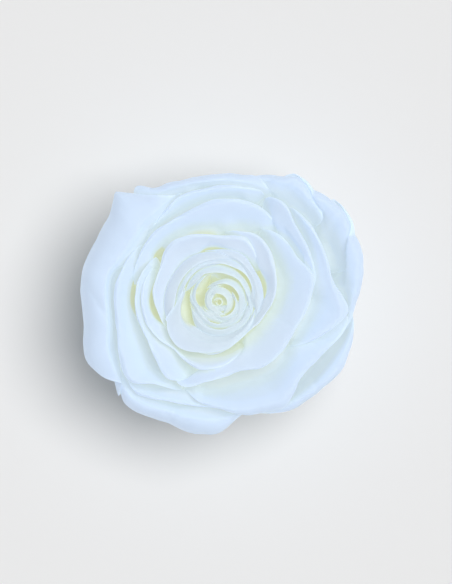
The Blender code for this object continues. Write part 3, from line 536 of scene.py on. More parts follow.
# %% [markdown]
# ## Room between the petals
#
# Real petals press against each other without passing through. A cloth simulation could push them apart, but
# 33 of them would take long and might crumple. A map of how far out the petals laid so far reach, for every
# direction and height, is enough: the next petal is moved out wherever it would come too near. The map
# falls gently above, below and beside each petal, so that the next one bends smoothly round it.

# %% Room between petals
PETAL_GAP = 0.1  # air between two petals


def denser(points, axis, times):
    """A grid of points with straight steps put between its rows or its columns."""
    points = np.moveaxis(points, axis, 0)
    place = np.linspace(0, len(points) - 1, (len(points) - 1) * times + 1)
    before = np.minimum(place.astype(int), len(points) - 2)
    share = (place - before).reshape(-1, *[1] * (points.ndim - 1))
    return np.moveaxis(points[before] * (1 - share) + points[before + 1] * share, 0, axis)


class Reach:
    """How far out the petals laid so far reach, for every direction and height."""

    ANGLE_STEP, HEIGHT_STEP, TOP = 1.0, 0.2, 46.0  # degrees, then millimetres
    STEEPEST, SIDE_FALL, BLURS = 1.8, 0.4, 4  # falls per millimetre of height and per step aside
    OVERLAP = 1.3  # how many points fall on each cell that a petal crosses

    def __init__(self):
        self.shape = (round(360 / self.ANGLE_STEP), round(self.TOP / self.HEIGHT_STEP) + 1)
        self.radius = np.zeros(self.shape)
        self.eased = self.radius

    def lay(self, angle, radius, height):
        """Marks the outer skin of a petal, from a grid of points on its middle."""
        dense = np.stack([angle, radius, height], axis=2)
        for axis in (0, 1):
            steps = np.abs(np.diff(dense, axis=axis)).max(axis=(0, 1))
            crossed = max(steps[0] / self.ANGLE_STEP, steps[2] / self.HEIGHT_STEP)
            dense = denser(dense, axis, int(np.ceil(crossed * self.OVERLAP)))
        column = np.round(dense[..., 0] / self.ANGLE_STEP).astype(int)
        row = np.clip(np.round(dense[..., 2] / self.HEIGHT_STEP).astype(int), 0, self.shape[1] - 1)
        for aside in (-1, 0, 1):
            cells = ((column + aside) % self.shape[0], row)
            np.maximum.at(self.radius, cells, dense[..., 1] + THICKNESS / 2)
        self.soften()

    def soften(self):
        """Makes the reach fall gently above, below and beside each petal."""
        fall = self.STEEPEST * self.HEIGHT_STEP
        eased = self.radius.copy()
        for row in range(1, self.shape[1]):
            eased[:, row] = np.maximum(eased[:, row], eased[:, row - 1] - fall)
        for row in range(self.shape[1] - 2, -1, -1):
            eased[:, row] = np.maximum(eased[:, row], eased[:, row + 1] - fall)
        for _ in range(self.shape[0] // 4):
            beside = np.maximum(np.roll(eased, 1, axis=0), np.roll(eased, -1, axis=0)) - self.SIDE_FALL
            eased = np.maximum(eased, beside)
        for _ in range(self.BLURS):
            eased = (np.roll(eased, 1, axis=0) + 2 * eased + np.roll(eased, -1, axis=0)) / 4
            eased[:, 1:-1] = (eased[:, :-2] + 2 * eased[:, 1:-1] + eased[:, 2:]) / 4
        self.eased = np.maximum(eased, self.radius)

    def at(self, angle, height):
        """The softened reach, read between its cells."""
        across = angle / self.ANGLE_STEP
        up = np.clip(height / self.HEIGHT_STEP, 0, self.shape[1] - 1.001)
        column, row = np.floor(across).astype(int), np.floor(up).astype(int)
        u, v = across - column, up - row
        left, right = column % self.shape[0], (column + 1) % self.shape[0]
        return (
            (1 - u) * ((1 - v) * self.eased[left, row] + v * self.eased[left, row + 1])
            + u * ((1 - v) * self.eased[right, row] + v * self.eased[right, row + 1])
        )


print("the map has", Reach().shape, "cells")

# %% Seat a claw
INNERMOST_FOOT, OUTERMOST_FOOT = 0.7, 7.1
FOOT_STEP = 0.05


def seat(petal, order, reach):
    """The smallest radius at which the petal's claw stands on the dome clear of the others' claws."""
    start = INNERMOST_FOOT + (OUTERMOST_FOOT - INNERMOST_FOOT) * order / (len(PETALS) - 1)
    radii = np.arange(start, OUTERMOST_FOOT, FOOT_STEP)[:, None]
    angles = sum(span_of(petal)) / 2 + np.linspace(-1, 1, 5) * np.degrees(CLAW_HALF_WIDTH / radii)
    reached = reach.at(angles, dome_height(radii) + FOOT_GAP + 0 * angles)
    clear = (reached + PETAL_GAP + THICKNESS / 2 <= radii).all(axis=1)
    return float(radii[np.argmax(clear), 0]) if clear.any() else OUTERMOST_FOOT


print("the first claw stands", round(seat(PETALS[0], 0, Reach()), 2), "mm from the axis")

# %% [markdown]
# ## How open each point lies
#
# The material keys its colour to how much of the sky a point sees. Open faces take the pale dye, and points
# that see little sky turn greener and a little darker: partly the flower's own yellow-green, partly painted
# shade. Baking ambient occlusion would tell, but a height map of the whole bloom does it at once: from each
# point, how high do its surroundings stand in sixteen directions?

# %% Openness
SKY_SLACK = 0.3  # how far a neighbour may stand over a point before it hides any sky


class Heights:
    """The height of the bloom's top over a grid of small squares."""

    CELL, HALF = 0.15, 33.0  # the side of a square, and half the side of the map
    DISTANCES = (0.35, 0.6, 0.9, 1.3, 1.9, 2.8, 4.0, 6.0)  # at which the skyline is looked up
    DIRECTIONS = 16

    def __init__(self):
        self.side = round(2 * self.HALF / self.CELL)
        self.top = np.zeros((self.side, self.side))

    def cells(self, x, y):
        """The squares that hold the places."""
        places = (np.rint((value + self.HALF) / self.CELL).astype(int) for value in (x, y))
        return tuple(np.clip(place, 0, self.side - 1) for place in places)

    def lay(self, points):
        """Raises the map to a grid of points."""
        for axis in (0, 1):
            longest = np.abs(np.diff(points[..., :2], axis=axis)).max()
            points = denser(points, axis, max(1, int(np.ceil(longest / self.CELL))))
        np.maximum.at(self.top, self.cells(points[..., 0], points[..., 1]), points[..., 2])

    def openness(self, points, normals):
        """The mean over the directions that a point faces of 1 / (1 + slope squared) to its skyline."""
        seen, weights = np.zeros(points.shape[:2]), np.full(points.shape[:2], 1e-6)
        for turn in np.linspace(0, 2 * np.pi, self.DIRECTIONS, endpoint=False):
            step = (math.cos(turn), math.sin(turn))
            slope = np.zeros(points.shape[:2])
            for distance in self.DISTANCES:
                beyond = points[..., 0] + distance * step[0], points[..., 1] + distance * step[1]
                rise = self.top[self.cells(*beyond)] - points[..., 2] - SKY_SLACK
                slope = np.maximum(slope, rise / distance)
            towards = normals[..., 0] * step[0] + normals[..., 1] * step[1]
            weight = np.maximum(towards + np.abs(normals[..., 2]), 0)
            seen += weight / (1 + slope**2)
            weights += weight
        return seen / weights


print("the height map has", Heights().top.shape, "squares")

# %% [markdown]
# ## A closed sheet
#
# The surface is only the middle of a petal. Solidify could thicken it evenly, but a petal thins towards its
# margin. So two skins are laid half the thickness away on each side, joined by a narrow band all round.
# The mesh also carries what its material needs: a UV map in millimetres, across and along the sheet, and
# marks, which are numbers kept on its points, such as how open each one lies.

# %% Measure a grid of points
def unit_normals(points):
    """Normals of a grid of points: the cross product of its two directions, made one long.

    They look away from the axis where the sheet stands upright.
    """
    normals = np.cross(np.gradient(points, axis=1), np.gradient(points, axis=0))
    return normals / np.maximum(np.linalg.norm(normals, axis=2, keepdims=True), 1e-9)


def lengths(points, axis):
    """Distances along the grid's rows or columns from the first one."""
    steps = np.linalg.norm(np.diff(points, axis=axis), axis=2)
    zero = np.zeros_like(np.take(steps, [0], axis=axis))
    return np.cumsum(np.concatenate([zero, steps], axis=axis), axis=axis)


def outwards(points, faces):
    """The faces of a closed mesh, turned round if they look inwards.

    They do where the pyramids from the origin to the faces add up to a volume under nothing.
    """
    a, b, c, d = (points[faces[:, corner]] for corner in range(4))
    volume = (np.cross(b - a, c - a) * a).sum() + (np.cross(c - a, d - a) * a).sum()
    return faces[:, ::-1] if volume < 0 else faces


print("normals, lengths and the way out are worked out on whole grids")

# %% Make a mesh
def make_mesh(name, points, faces):
    """A smoothly shaded mesh from points in millimetres round the stem's axis, and quads."""
    mesh = bpy.data.meshes.new(name)
    mesh.from_pydata((points + [AXIS[0], AXIS[1], 0]) * MM, [], faces)
    mesh.shade_smooth()
    return mesh


def show(name, mesh):
    """Puts a mesh, a lamp or a camera in the scene, with its object at the origin."""
    shown = bpy.data.objects.new(name, mesh)
    bpy.context.scene.collection.objects.link(shown)
    return shown


print("a mesh is placed round the axis, which stands", AXIS.round(3), "mm from the origin")

# %% Closed sheet
def closed_sheet(name, inner_skin, outer_skin, marks, uv):
    """A closed mesh from two grids of points: a skin on each side, joined by a band round the margin.

    marks are values kept on the points as attributes: (on the inner skin, on the outer skin) by name.
    """
    rows, columns = inner_skin.shape[:2]
    points = np.concatenate([inner_skin.reshape(-1, 3), outer_skin.reshape(-1, 3)])
    index = np.arange(rows * columns).reshape(rows, columns)
    inner = np.stack([index[:-1, :-1], index[1:, :-1], index[1:, 1:], index[:-1, 1:]], axis=2).reshape(-1, 4)
    back = rows * columns
    margin = np.concatenate([index[0, :-1], index[:-1, -1], index[-1, :0:-1], index[:0:-1, 0]])
    following = np.roll(margin, -1)
    band = np.stack([margin, following, following + back, margin + back], axis=1)
    faces = outwards(points, np.concatenate([inner, inner[:, ::-1] + back, band]))
    mesh = make_mesh(name, points, faces)
    for mark, (inside, outside) in marks.items():
        values = np.concatenate([np.ravel(inside), np.ravel(outside)]).astype(np.float32)
        mesh.attributes.new(mark, "FLOAT", "POINT").data.foreach_set("value", values)
    corners = np.concatenate([uv.reshape(-1, 2)] * 2)[faces.reshape(-1)]
    mesh.uv_layers.new(name="Sheet").data.foreach_set("uv", corners.astype(np.float32).ravel())
    return show(name, mesh)


print("a closed sheet has two skins and a band")

# %% [markdown]
# ## Shader maths
#
# Materials here are built from nodes. They could be drawn by hand in the shader editor, and written out one
# by one they are hard to read. So a small class wraps a node's output: the signs + - * / on it add Math
# nodes, and one method adds any other node. The methods after it only name the nodes that come up often.

# %% Shader maths
def grey(value):
    """A colour without a tint."""
    return (value, value, value, 1)


def set_stops(elements, stops):
    """Gives a ramp its stops: places from 0 to 1, and their colours."""
    while len(elements) < len(stops):
        elements.new(0.5)
    for element, (position, colour) in zip(elements, stops):
        element.position, element.color = position, colour


class Wire:
    """A node's output. Arithmetic on it adds Math nodes to its tree."""

    def __init__(self, tree, output=None):
        self.tree, self.output = tree, output

    def node(self, kind, settings=None, sockets=None, output=0):
        """Adds a node: its settings first, then the values or wires of its sockets."""
        made = self.tree.nodes.new(kind)
        for name, value in (settings or {}).items():
            if name == "stops":
                set_stops(made.color_ramp.elements, value)
            else:
                setattr(made, name, value)
        for name, value in (sockets or {}).items():
            if isinstance(value, Wire):
                self.tree.links.new(value.output, made.inputs[name])
            else:
                made.inputs[name].default_value = value
        return Wire(self.tree, made.outputs[output] if made.outputs else None)

    def math(self, operation, first, second=0.0):
        return self.node("ShaderNodeMath", {"operation": operation}, {0: first, 1: second})

    def __add__(self, other):
        return self.math("ADD", self, other)

    def __sub__(self, other):
        return self.math("SUBTRACT", self, other)

    def __rsub__(self, other):
        return self.math("SUBTRACT", other, self)

    def __mul__(self, other):
        return self.math("MULTIPLY", self, other)

    def __truediv__(self, other):
        return self.math("DIVIDE", self, other)

    def __rtruediv__(self, other):
        return self.math("DIVIDE", other, self)

    __radd__ = __add__
    __rmul__ = __mul__

    def eased(self, start, end):
        """0 before start, 1 after end, and a smooth S between them."""
        return self.node(
            "ShaderNodeMapRange",
            {"interpolation_type": "SMOOTHSTEP"},
            {"Value": self, "From Min": start, "From Max": end},
        )

    def mixed(self, first, second):
        """The first colour where this is 0 and the second where it is 1."""
        return self.node("ShaderNodeMix", {"data_type": "RGBA"}, {0: self, 6: first, 7: second}, output=2)

    def dimmed(self, share, where=1.0):
        """This colour times a share, where the mask is 1."""
        return self.node("ShaderNodeMix", {"data_type": "RGBA", "blend_type": "MULTIPLY"},
                         {0: where, 6: self, 7: grey(share)}, output=2)

    def ramp(self, stops):
        """The colour that a row of stops has at this value."""
        return self.node("ShaderNodeValToRGB", {"stops": stops}, {"Fac": self})

    def mark(self, name):
        """A number kept on the mesh's points."""
        return self.node("ShaderNodeAttribute", {"attribute_name": name}, output="Fac")

    def part(self, axis):
        """One of the three numbers of this place."""
        return self.node("ShaderNodeSeparateXYZ", None, {"Vector": self}, output=axis)

    def mapped(self, scale, location=(0, 0, 0)):
        """This place, stretched and moved."""
        return self.node("ShaderNodeMapping", None, {"Vector": self, "Scale": scale, "Location": location})

    def noise(self, scale, detail, roughness=0.5):
        """Soft noise at this place, from 0 to 1."""
        return self.node("ShaderNodeTexNoise", None,
                         {"Vector": self, "Scale": scale, "Detail": detail, "Roughness": roughness})


print("a wire can", ", ".join(name for name in vars(Wire) if not name.startswith("_")))

# %% Start a material
def new_material(name):
    """The start of a new material's empty tree, and a function that links its shader and gives it back."""
    material = bpy.data.materials.new(name)
    material.use_nodes = True
    material.node_tree.nodes.clear()
    start = Wire(material.node_tree)

    def finish(shader):
        start.node("ShaderNodeOutputMaterial", None, {"Surface": shader})
        return material

    return start, finish


print("a material begins with an empty tree")

# %% [markdown]
# ## Petal material
#
# A petal is soft, moist tissue under a waxy skin: light goes in, spreads and comes out on the other side, so
# even the gaps between petals glow. A volume shader could follow that light but takes minutes. Here a faint
# even glow in the petal's own colour is painted on as emission, which shines whatever the lamps and flattens
# the petals' shading, and the shader's subsurface part blurs the rest.
#
# The dye is a cool bluish white on the faces that lie open. Where petals shade each other the tint turns
# greener and a little darker, which is painted shade, and it turns greener towards the heart. The flower's
# own yellow-green shows down the claws and in the named gaps, where it darkens the less sky a point sees,
# painted shade again, and a few named places are darkened by painted shade. Each of these is a ramp of
# colours from the axis outwards, and the marks on the mesh choose between them.
# Fine veins fan out from the claw, so their pattern follows the UV map, which is in millimetres.

# %% Petal material
# FACE_TINTS are the open faces' colour. SHADE_TINTS and DEEP_TINTS are for points that see less and less sky.
# They are greener and darker in the blue: painted shade mixed with the tissue's own yellow-green.
FACE_TINTS = ((0.0, (0.685, 0.785, 0.81, 1)), (0.25, (0.675, 0.79, 0.865, 1)), (0.5, (0.695, 0.81, 0.955, 1)),
              (0.8, (0.68, 0.815, 1.0, 1)))
SHADE_TINTS = ((0.0, (0.73, 0.815, 0.77, 1)), (0.25, (0.715, 0.815, 0.79, 1)), (0.5, (0.71, 0.82, 0.83, 1)),
               (0.75, (0.695, 0.81, 0.87, 1)), (1.0, (0.675, 0.79, 0.885, 1)))
DEEP_TINTS = ((0.0, (0.735, 0.80, 0.61, 1)), (0.3, (0.71, 0.785, 0.61, 1)), (0.5, (0.70, 0.80, 0.745, 1)),
              (0.65, (0.72, 0.82, 0.83, 1)), (1.0, (0.70, 0.81, 0.86, 1)))
TINT_RADIUS = 25.0  # millimetres from the axis at which the ramps end
FACE_OPENS, SHADE_OPENS = (0.3, 0.95), (0.03, 0.24)  # openness between which each tint takes over
# The tissue's own yellow-green in the named gaps, from its darkest, which is painted shade where a point sees
# least sky, to its lightest.
GAP_TINTS, GAP_OPENS = ((0.715, 0.765, 0.53, 1), (0.74, 0.81, 0.67, 1)), (0.05, 0.6)
CLAW_TINT, CLAW_LENGTHS = (0.74, 0.82, 0.66, 1), (5.0, 17.0)
CLOUDED, VEINED = 0.1, 0.12  # how much clouds and veins shift the openness
PAINTED_GLOW = 0.53  # share of a petal's brightness that is a painted, even emitted glow, lit or not
SHADE_DARKER = 0.87  # of its colour that is left under full painted shade


def petal_material(name, vein_strength):
    """Dyed tissue with painted shade and an emitted glow: its tint by openness, distance from the axis and
    length up the petal, with veins.
    """
    start, finish = new_material(name)
    place = start.node("ShaderNodeTexCoord", output="Object")
    sheet = start.node("ShaderNodeUVMap", {"uv_map": "Sheet"})
    flat = place.mapped((1, 1, 0), (-AXIS[0] * MM, -AXIS[1] * MM, 0))
    from_axis = start.node("ShaderNodeVectorMath", {"operation": "LENGTH"}, {0: flat}, output="Value")
    outward = from_axis / (TINT_RADIUS * MM)
    clouds = place.noise(160.0, 3.0)
    veins = sheet.mapped((1.0, 0.07, 1.0)).noise(2.2, 4.0, 0.6)
    openness = start.mark("openness") + (clouds - 0.5) * CLOUDED + (veins - 0.5) * VEINED

    # Painted shade: the tint turns greener and darker where a point sees less sky.
    lit = openness.eased(*FACE_OPENS).mixed(outward.ramp(SHADE_TINTS), outward.ramp(FACE_TINTS))
    tint_with_painted_shade = openness.eased(*SHADE_OPENS).mixed(outward.ramp(DEEP_TINTS), lit)
    petal = sheet.part("Y").eased(*CLAW_LENGTHS).mixed(CLAW_TINT, tint_with_painted_shade)
    # Painted shade in the named gaps: the tissue's yellow-green, darker where a point sees less sky.
    in_gap = openness.eased(*GAP_OPENS).mixed(*GAP_TINTS)
    # Painted shade: the colour is darkened in the named places under some crests.
    colour = start.mark("gap").mixed(petal, in_gap).dimmed(SHADE_DARKER, start.mark("shade"))

    relief = veins * vein_strength + place.noise(1400.0, 2.0) * 0.12
    bump = start.node("ShaderNodeBump", None, {"Strength": 0.35, "Distance": 0.00006, "Height": relief})
    sockets = {
        "Base Color": colour.dimmed(1 - PAINTED_GLOW), "Roughness": 0.52 + clouds * 0.16, "Normal": bump,
        "Emission Color": colour, "Emission Strength": PAINTED_GLOW, "Specular IOR Level": 0.2,
        "Subsurface Weight": 0.5, "Subsurface Radius": (1.0, 1.0, 1.0), "Subsurface Scale": 0.0005,
    }
    return finish(start.node("ShaderNodeBsdfPrincipled", None, sockets))


heart_finish = petal_material("heart_petal_tissue", 0.5)
outer_finish = petal_material("outer_petal_tissue", 0.8)
print("petal materials:", heart_finish.name, outer_finish.name)

# %% [markdown]
# ## Gaps, painted shade and creases
#
# In a real bloom most petals lie pressed together, so that only their lips show. A few stand off and leave a
# narrow gap, a few open petals get painted shade under their crest, and the outer ones have dried with a
# crease or two. The gaps and creases could be sculpted one by one. It is simpler to name them all: which
# petal, between which angles or places, and how deep or how strong. A sine over the named angles fades each
# one in and out.

# %% Gaps, painted shade and creases
GAPS = (  # petal, the angles between which it stands off, and how deep under its crest the gap begins
    ("heart_curl", 150, 530, -1.0), ("heart_right", 36, 114, 0.2), ("eye_lower_right", 300, 384, 0.2),
    ("eye_upper_right", 0, 76, 0.2), ("coil_left", 92, 196, 0.2), ("coil_lower", 246, 274, 0.3),
    ("cup_top", 10, 66, 0.3), ("cup_lower_left", 154, 226, 0.5), ("whorl_right", 4, 42, 3.3),
    ("whorl_upper_left", 80, 110, 3.2), ("middle_top_left", 90, 116, 4.3), ("middle_top_left", 134, 148, 3.6),
    ("whorl_left_strip", 158, 204, 2.6), ("outer_left", 162, 192, 3.8),
)
PAINTED_SHADES = (  # petal, the angles between which shade is painted under its crest, and how strongly
    ("whorl_left_strip", 215, 310, 0.6), ("outer_lower_right", -100, -40, 0.35),
    ("rim_upper_right", 14, 64, 0.2), ("rim_right", -14, 46, 0.2), ("rim_lower_right", -72, -5, 0.7),
)
CREASES = (  # petal, then the angle and radius of both ends, the width and the depth
    ("rim_left", (171, 28.9), (189, 23.6), 0.7, 0.35),
    ("rim_lower_left", (249, 24.9), (248, 27.4), 0.6, 0.5),
    ("rim_lower_left", (244, 25.2), (246, 27.0), 0.6, 0.4),
    ("rim_right", (31, 33.2), (27, 29.5), 0.6, 0.7),
    ("rim_upper_right", (36, 32.5), (34, 28.8), 0.6, 0.6),
    ("rim_upper_right", (42, 31.0), (40, 27.6), 0.6, 0.5),
    ("rim_upper_right", (47, 30.5), (52, 27.5), 0.7, 0.5),
    ("rim_top_right", (56, 31.0), (60, 27.6), 0.6, 0.6),
    ("rim_top_right", (66, 28.6), (70, 26.6), 0.6, 0.5),
    ("rim_right", (12, 31.2), (16, 28.0), 0.8, 0.3),
    ("rim_right", (5, 29.4), (10, 27.0), 0.8, 0.3),
    ("outer_lower_right", (338, 26.6), (335, 23.6), 0.6, 0.35),
    ("outer_lower_right", (334, 26.0), (330, 23.4), 0.6, 0.3),
    ("rim_lower_right", (318, 28.6), (322, 25.0), 0.8, 0.35),
    ("outer_right", (352, 25.6), (2, 21.0), 0.9, 0.25),
    ("middle_lower_right", (340, 16.6), (352, 11.5), 0.9, 0.2),
    ("whorl_right", (30, 13.8), (52, 14.8), 0.9, 0.2),
    ("rim_top", (88, 27.0), (84, 25.4), 0.7, 0.3),
)
print(len(GAPS), "gaps,", len(PAINTED_SHADES), "hollows and", len(CREASES), "creases")

# %% Marks from the tables
GAP_POWER, GAP_ENDS = 0.8, 0.4
GAP_TAPER, GAP_ABOVE, GAP_BELOW = 0.6, 0.2, 0.6  # millimetres over which a gap's colour comes in
# How painted shade fades in across its angles and into the depth below the crest.
SHADE_POWER, SHADE_DEPTHS = 0.5, (0.05, 1.2)
CREASE_ENDS = (-0.2, 0.3)  # shares of its length between which a crease fades in


def named(rows, petal):
    """The rows of a table that name the petal, without its name."""
    return [row[1:] for row in rows if row[0] == petal.name]


def bell(angles, start, end, power):
    """0 at both ends of a span of angles and 1 in its middle: half a sine wave, raised to a power."""
    return np.sin(np.pi * np.clip((angles - start) / (end - start), 0, 1)) ** power


def gap_marks(petal, angles, depth):
    """How far the petal stands off along its ribs, and 1 where a point lies deep in a named gap."""
    standing_off, gap = np.zeros_like(angles), np.zeros_like(depth)
    for start, end, deep in named(GAPS, petal):
        share = bell(angles, start, end, GAP_POWER)
        standing_off += share
        below = ease(depth - GAP_TAPER * (1 - share), deep - GAP_ABOVE, deep + GAP_BELOW)
        gap += below * ease(share, 0, GAP_ENDS)
    return standing_off, gap


def painted_shade_marks(petal, angles, depth):
    """How much painted shade a point takes: its strength, times a bell, times an ease into the depth."""
    shade = np.zeros_like(depth)
    for start, end, strength in named(PAINTED_SHADES, petal):
        shade += strength * bell(angles, start, end, SHADE_POWER) * ease(depth, *SHADE_DEPTHS)
    return shade


def crease(points, start, end, width, deep):
    """How far a crease lowers each point: a bell across the line between two places, eased at its ends."""
    ends = [radius * np.array([math.cos(math.radians(angle)), math.sin(math.radians(angle))])
            for angle, radius in (start, end)]
    along = ends[1] - ends[0]
    share = ((points[..., :2] - ends[0]) @ along) / (along @ along)
    nearest = ends[0] + np.clip(share, 0, 1)[..., None] * along
    aside = np.linalg.norm(points[..., :2] - nearest, axis=2)
    fading = ease(share, *CREASE_ENDS) * ease(1 - share, *CREASE_ENDS)
    return deep * np.exp(-((aside / width) ** 2)) * fading


print("half way along a gap its bell is", bell(np.array([5.0]), 0, 10, GAP_POWER)[0])

# %% [markdown]
# ## Petals pressed together
#
# Between two crests a real rose shows a shallow groove, not a slot down to the hip, because the outer petal
# is pressed against the inner one. Its outer skin is already where it belongs. So only its inner skin moves
# in, towards the petal inside it, where the groove is narrow or very deep. Smoothing that move across the
# petal keeps the skin from crumpling where a groove begins.

# %% Press the petals together
GROOVES = {"closed": ((0.02, 0.25), (1.0, 2.0)), "open": ((0.3, 1.4), (1.5, 3.5))}  # depths, then widths
HOLLOW_RIM = ("rim_upper_right", "rim_right", "rim_lower_right")
HOLLOW_GROOVE = ((2.0, 4.5), (1.5, 3.5))  # these rim petals stay open to a greater depth
FLOOR_DEPTH = (4.0, 6.0)  # depths between which every groove is shut
PRESSED_MARGIN = {"closed": (0.05, 0.3), "open": (0.05, 0.8)}  # distances in from the margin
PRESSED_GAP, SMALLEST_RADIUS, SMOOTHINGS = 0.04, 0.05, 6


def smoothed(grid, times):
    """Each inner value moved that many times towards the mean of its neighbours across the petal."""
    grid = grid.copy()
    for _ in range(times):
        grid[:, 1:-1] = (grid[:, :-2] + 2 * grid[:, 1:-1] + grid[:, 2:]) / 4
    return grid


def press(petal, inner_skin, reached, depth, margin, standing_off):
    """Moves the inner skin in by its distance to the petal inside it, times how far the groove is shut."""
    kind = kind_of(petal)
    depths, widths = HOLLOW_GROOVE if petal.name in HOLLOW_RIM else GROOVES[kind]
    own = np.hypot(inner_skin[..., 0], inner_skin[..., 1])
    touching = ease(depth, *depths) * (1 - ease(own - reached, *widths))
    shut = np.maximum(touching * (1 - standing_off), ease(depth, *FLOOR_DEPTH))
    room = np.maximum(own - np.maximum(reached + PRESSED_GAP, SMALLEST_RADIUS), 0)
    inwards = smoothed(shut * ease(margin, *PRESSED_MARGIN[kind]) * room, SMOOTHINGS)
    inside = own - np.minimum(inwards, own - SMALLEST_RADIUS)
    inner_skin[..., :2] *= (inside / own)[..., None]


print("grooves are shut below", FLOOR_DEPTH[1], "mm")

# %% [markdown]
# ## Laying the petals
#
# The petals are laid from the heart outwards, each on the dome of the hip and clear of those before it. All
# could be laid at once and pushed apart later, but one after the other each only has to look inwards.

# %% Lay the petals
COLUMN_WIDTH, FEWEST_COLUMNS = 0.6, 30  # millimetres along the margin
ROWS, MARGIN_STARTS, MARGIN_ROWS = 40, 0.96, (0.974, 0.988, 1.0)
EASING = {"closed": 0.12, "open": 0.25}  # how softly a petal gives way to the one inside it
THIN_WIDTH = 1.3  # how far in from its margin a petal is thinner
FIRST_SEED = 11


def lay(petal, order, reach, heights):
    """A petal's two skins, its normals, its UV map in millimetres, and its painted shade and gaps."""
    kind = kind_of(petal)
    first, last = span_of(petal)
    span = math.radians(last - first)
    widest = max(rib.rim if kind == "closed" else rib.edge for rib in petal.ribs)
    across = np.linspace(0, 1, max(FEWEST_COLUMNS, math.ceil(span * widest / COLUMN_WIDTH)) + 1)
    along = np.concatenate([np.linspace(0, MARGIN_STARTS, ROWS), MARGIN_ROWS])
    foot, chance = seat(petal, order, reach), np.random.default_rng(order + FIRST_SEED)
    angle, radius, height, depth = petal_surface(petal, foot, across, along, chance)
    reached = reach.at(angle, height)
    least = reached + PETAL_GAP + THICKNESS / 2
    radius = (radius + least + np.sqrt((radius - least) ** 2 + EASING[kind] ** 2)) / 2
    reach.lay(angle, radius, height)
    turn = np.radians(angle)
    middle = np.stack([radius * np.cos(turn), radius * np.sin(turn), height], axis=2)
    for ends_and_size in named(CREASES, petal):
        middle[..., 2] -= crease(middle, *ends_and_size)
    heights.lay(middle)

    down, aside = lengths(middle, 0), lengths(middle, 1)
    margin = np.minimum(down[-1] - down, np.minimum(aside, aside[:, -1:] - aside))
    thickness = MARGIN_THICKNESS + (THICKNESS - MARGIN_THICKNESS) * ease(margin, 0, THIN_WIDTH)
    normals = unit_normals(middle)
    offset = normals * thickness[..., None] / 2
    outer_skin, inner_skin = middle + offset, middle - offset
    rib_angles = first + (last - first) * across
    standing_off, gap = gap_marks(petal, rib_angles, depth)
    press(petal, inner_skin, reached, depth, margin, standing_off)
    uv = np.stack([np.broadcast_to(across * span * widest, down.shape), down], axis=2)
    return inner_skin, outer_skin, normals, uv, painted_shade_marks(petal, rib_angles, depth), gap


reach, heights = Reach(), Heights()
sheets = [lay(petal, order, reach, heights) for order, petal in enumerate(PETALS)]
print(len(sheets), "petals laid, out to", reach.radius.max().round(2), "mm")

# %% [markdown]
# ## Dressing the petals
#
# Only now, with the whole bloom laid, is it known how much sky each point sees. So the meshes are made last.
# Painted shade in a named place takes a little off its points' openness, and the outer side of the bloom
# counts as open even where the petals above it roll over it, so that it takes little painted shade. Each
# piece then hides the solid it replaces.

# %% Dress the petals
SHADE_CLOSES = 0.7  # how much of the painted shade's strength is taken off the openness
SIDE_SLACK = (4.0, 0.3)  # from how far inside the outermost petal a point on the side lies open, and fully
triangles = 0
for petal, (inner_skin, outer_skin, normals, uv, shade, gap) in zip(PETALS, sheets):
    own = np.hypot(outer_skin[..., 0], outer_skin[..., 1])
    around = np.degrees(np.arctan2(outer_skin[..., 1], outer_skin[..., 0]))
    outermost = reach.at(around, outer_skin[..., 2])
    beside = ease(own, outermost - SIDE_SLACK[0], outermost - SIDE_SLACK[1])
    open_inside = heights.openness(inner_skin, -normals) - SHADE_CLOSES * shade
    open_outside = np.maximum(heights.openness(outer_skin, normals), beside)
    none = np.zeros_like(gap)
    marks = {"openness": (open_inside, open_outside), "gap": (gap, none), "shade": (shade, none)}
    piece = closed_sheet(petal.name, inner_skin, outer_skin, marks, uv)
    in_heart = petal in HEART + CUP + CLOSED_CUP
    piece.data.materials.append(heart_finish if in_heart else outer_finish)
    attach(piece, "root")
    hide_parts("petal_" + petal.name)
    triangles += 2 * len(piece.data.polygons)
print(len(sheets), "petals,", triangles, "triangles")

# %% [markdown]
# ## Hip and cut stem
#
# Under the petals sits the green hip, and under that the stub of the stem, cut flat so that the bloom can
# stand. A sphere and a cylinder would show a sharp seam between them, so both are turned from one profile,
# with five soft lobes under the sepals.

# %% Hip and stem
STEM_RADIUS, STEM_TOP = 3.2, 2.0
CUT_EDGE = ((0.15, 0.0), (0.04, 0.05), (0.0, 0.2), (0.0, 1.0))  # inside the stem's radius, and height
HIP_LOBES, LOBE_DEPTH, HIP_SIDES = 5, 0.12, 120


def hip_profile():
    """Radius and height from the middle of the cut, out and up the stem, over the hip and the dome.

    The cut and the stem are lines, the hip swells with an ease, and the dome is a quarter of an ellipse.
    """
    cut = np.stack([np.linspace(0, STEM_RADIUS - CUT_EDGE[0][0], 8), np.zeros(8)], axis=1)
    rim = np.array([(STEM_RADIUS - inside, height) for inside, height in CUT_EDGE[1:]])
    swell = np.linspace(0, 1, 16)[:, None]
    hip = np.hstack([
        STEM_RADIUS + (HIP_RADIUS - STEM_RADIUS) * ease(swell, 0, 1),
        STEM_TOP + (HIP_HEIGHT - STEM_TOP) * swell,
    ])
    turn = np.linspace(0, np.pi / 2, 16)[1:]
    radius = HIP_RADIUS * np.cos(turn)
    dome = np.stack([radius, HIP_HEIGHT + (DOME_TOP - HIP_HEIGHT) * np.sin(turn)], axis=1)
    return np.vstack([cut, rim, hip, dome])


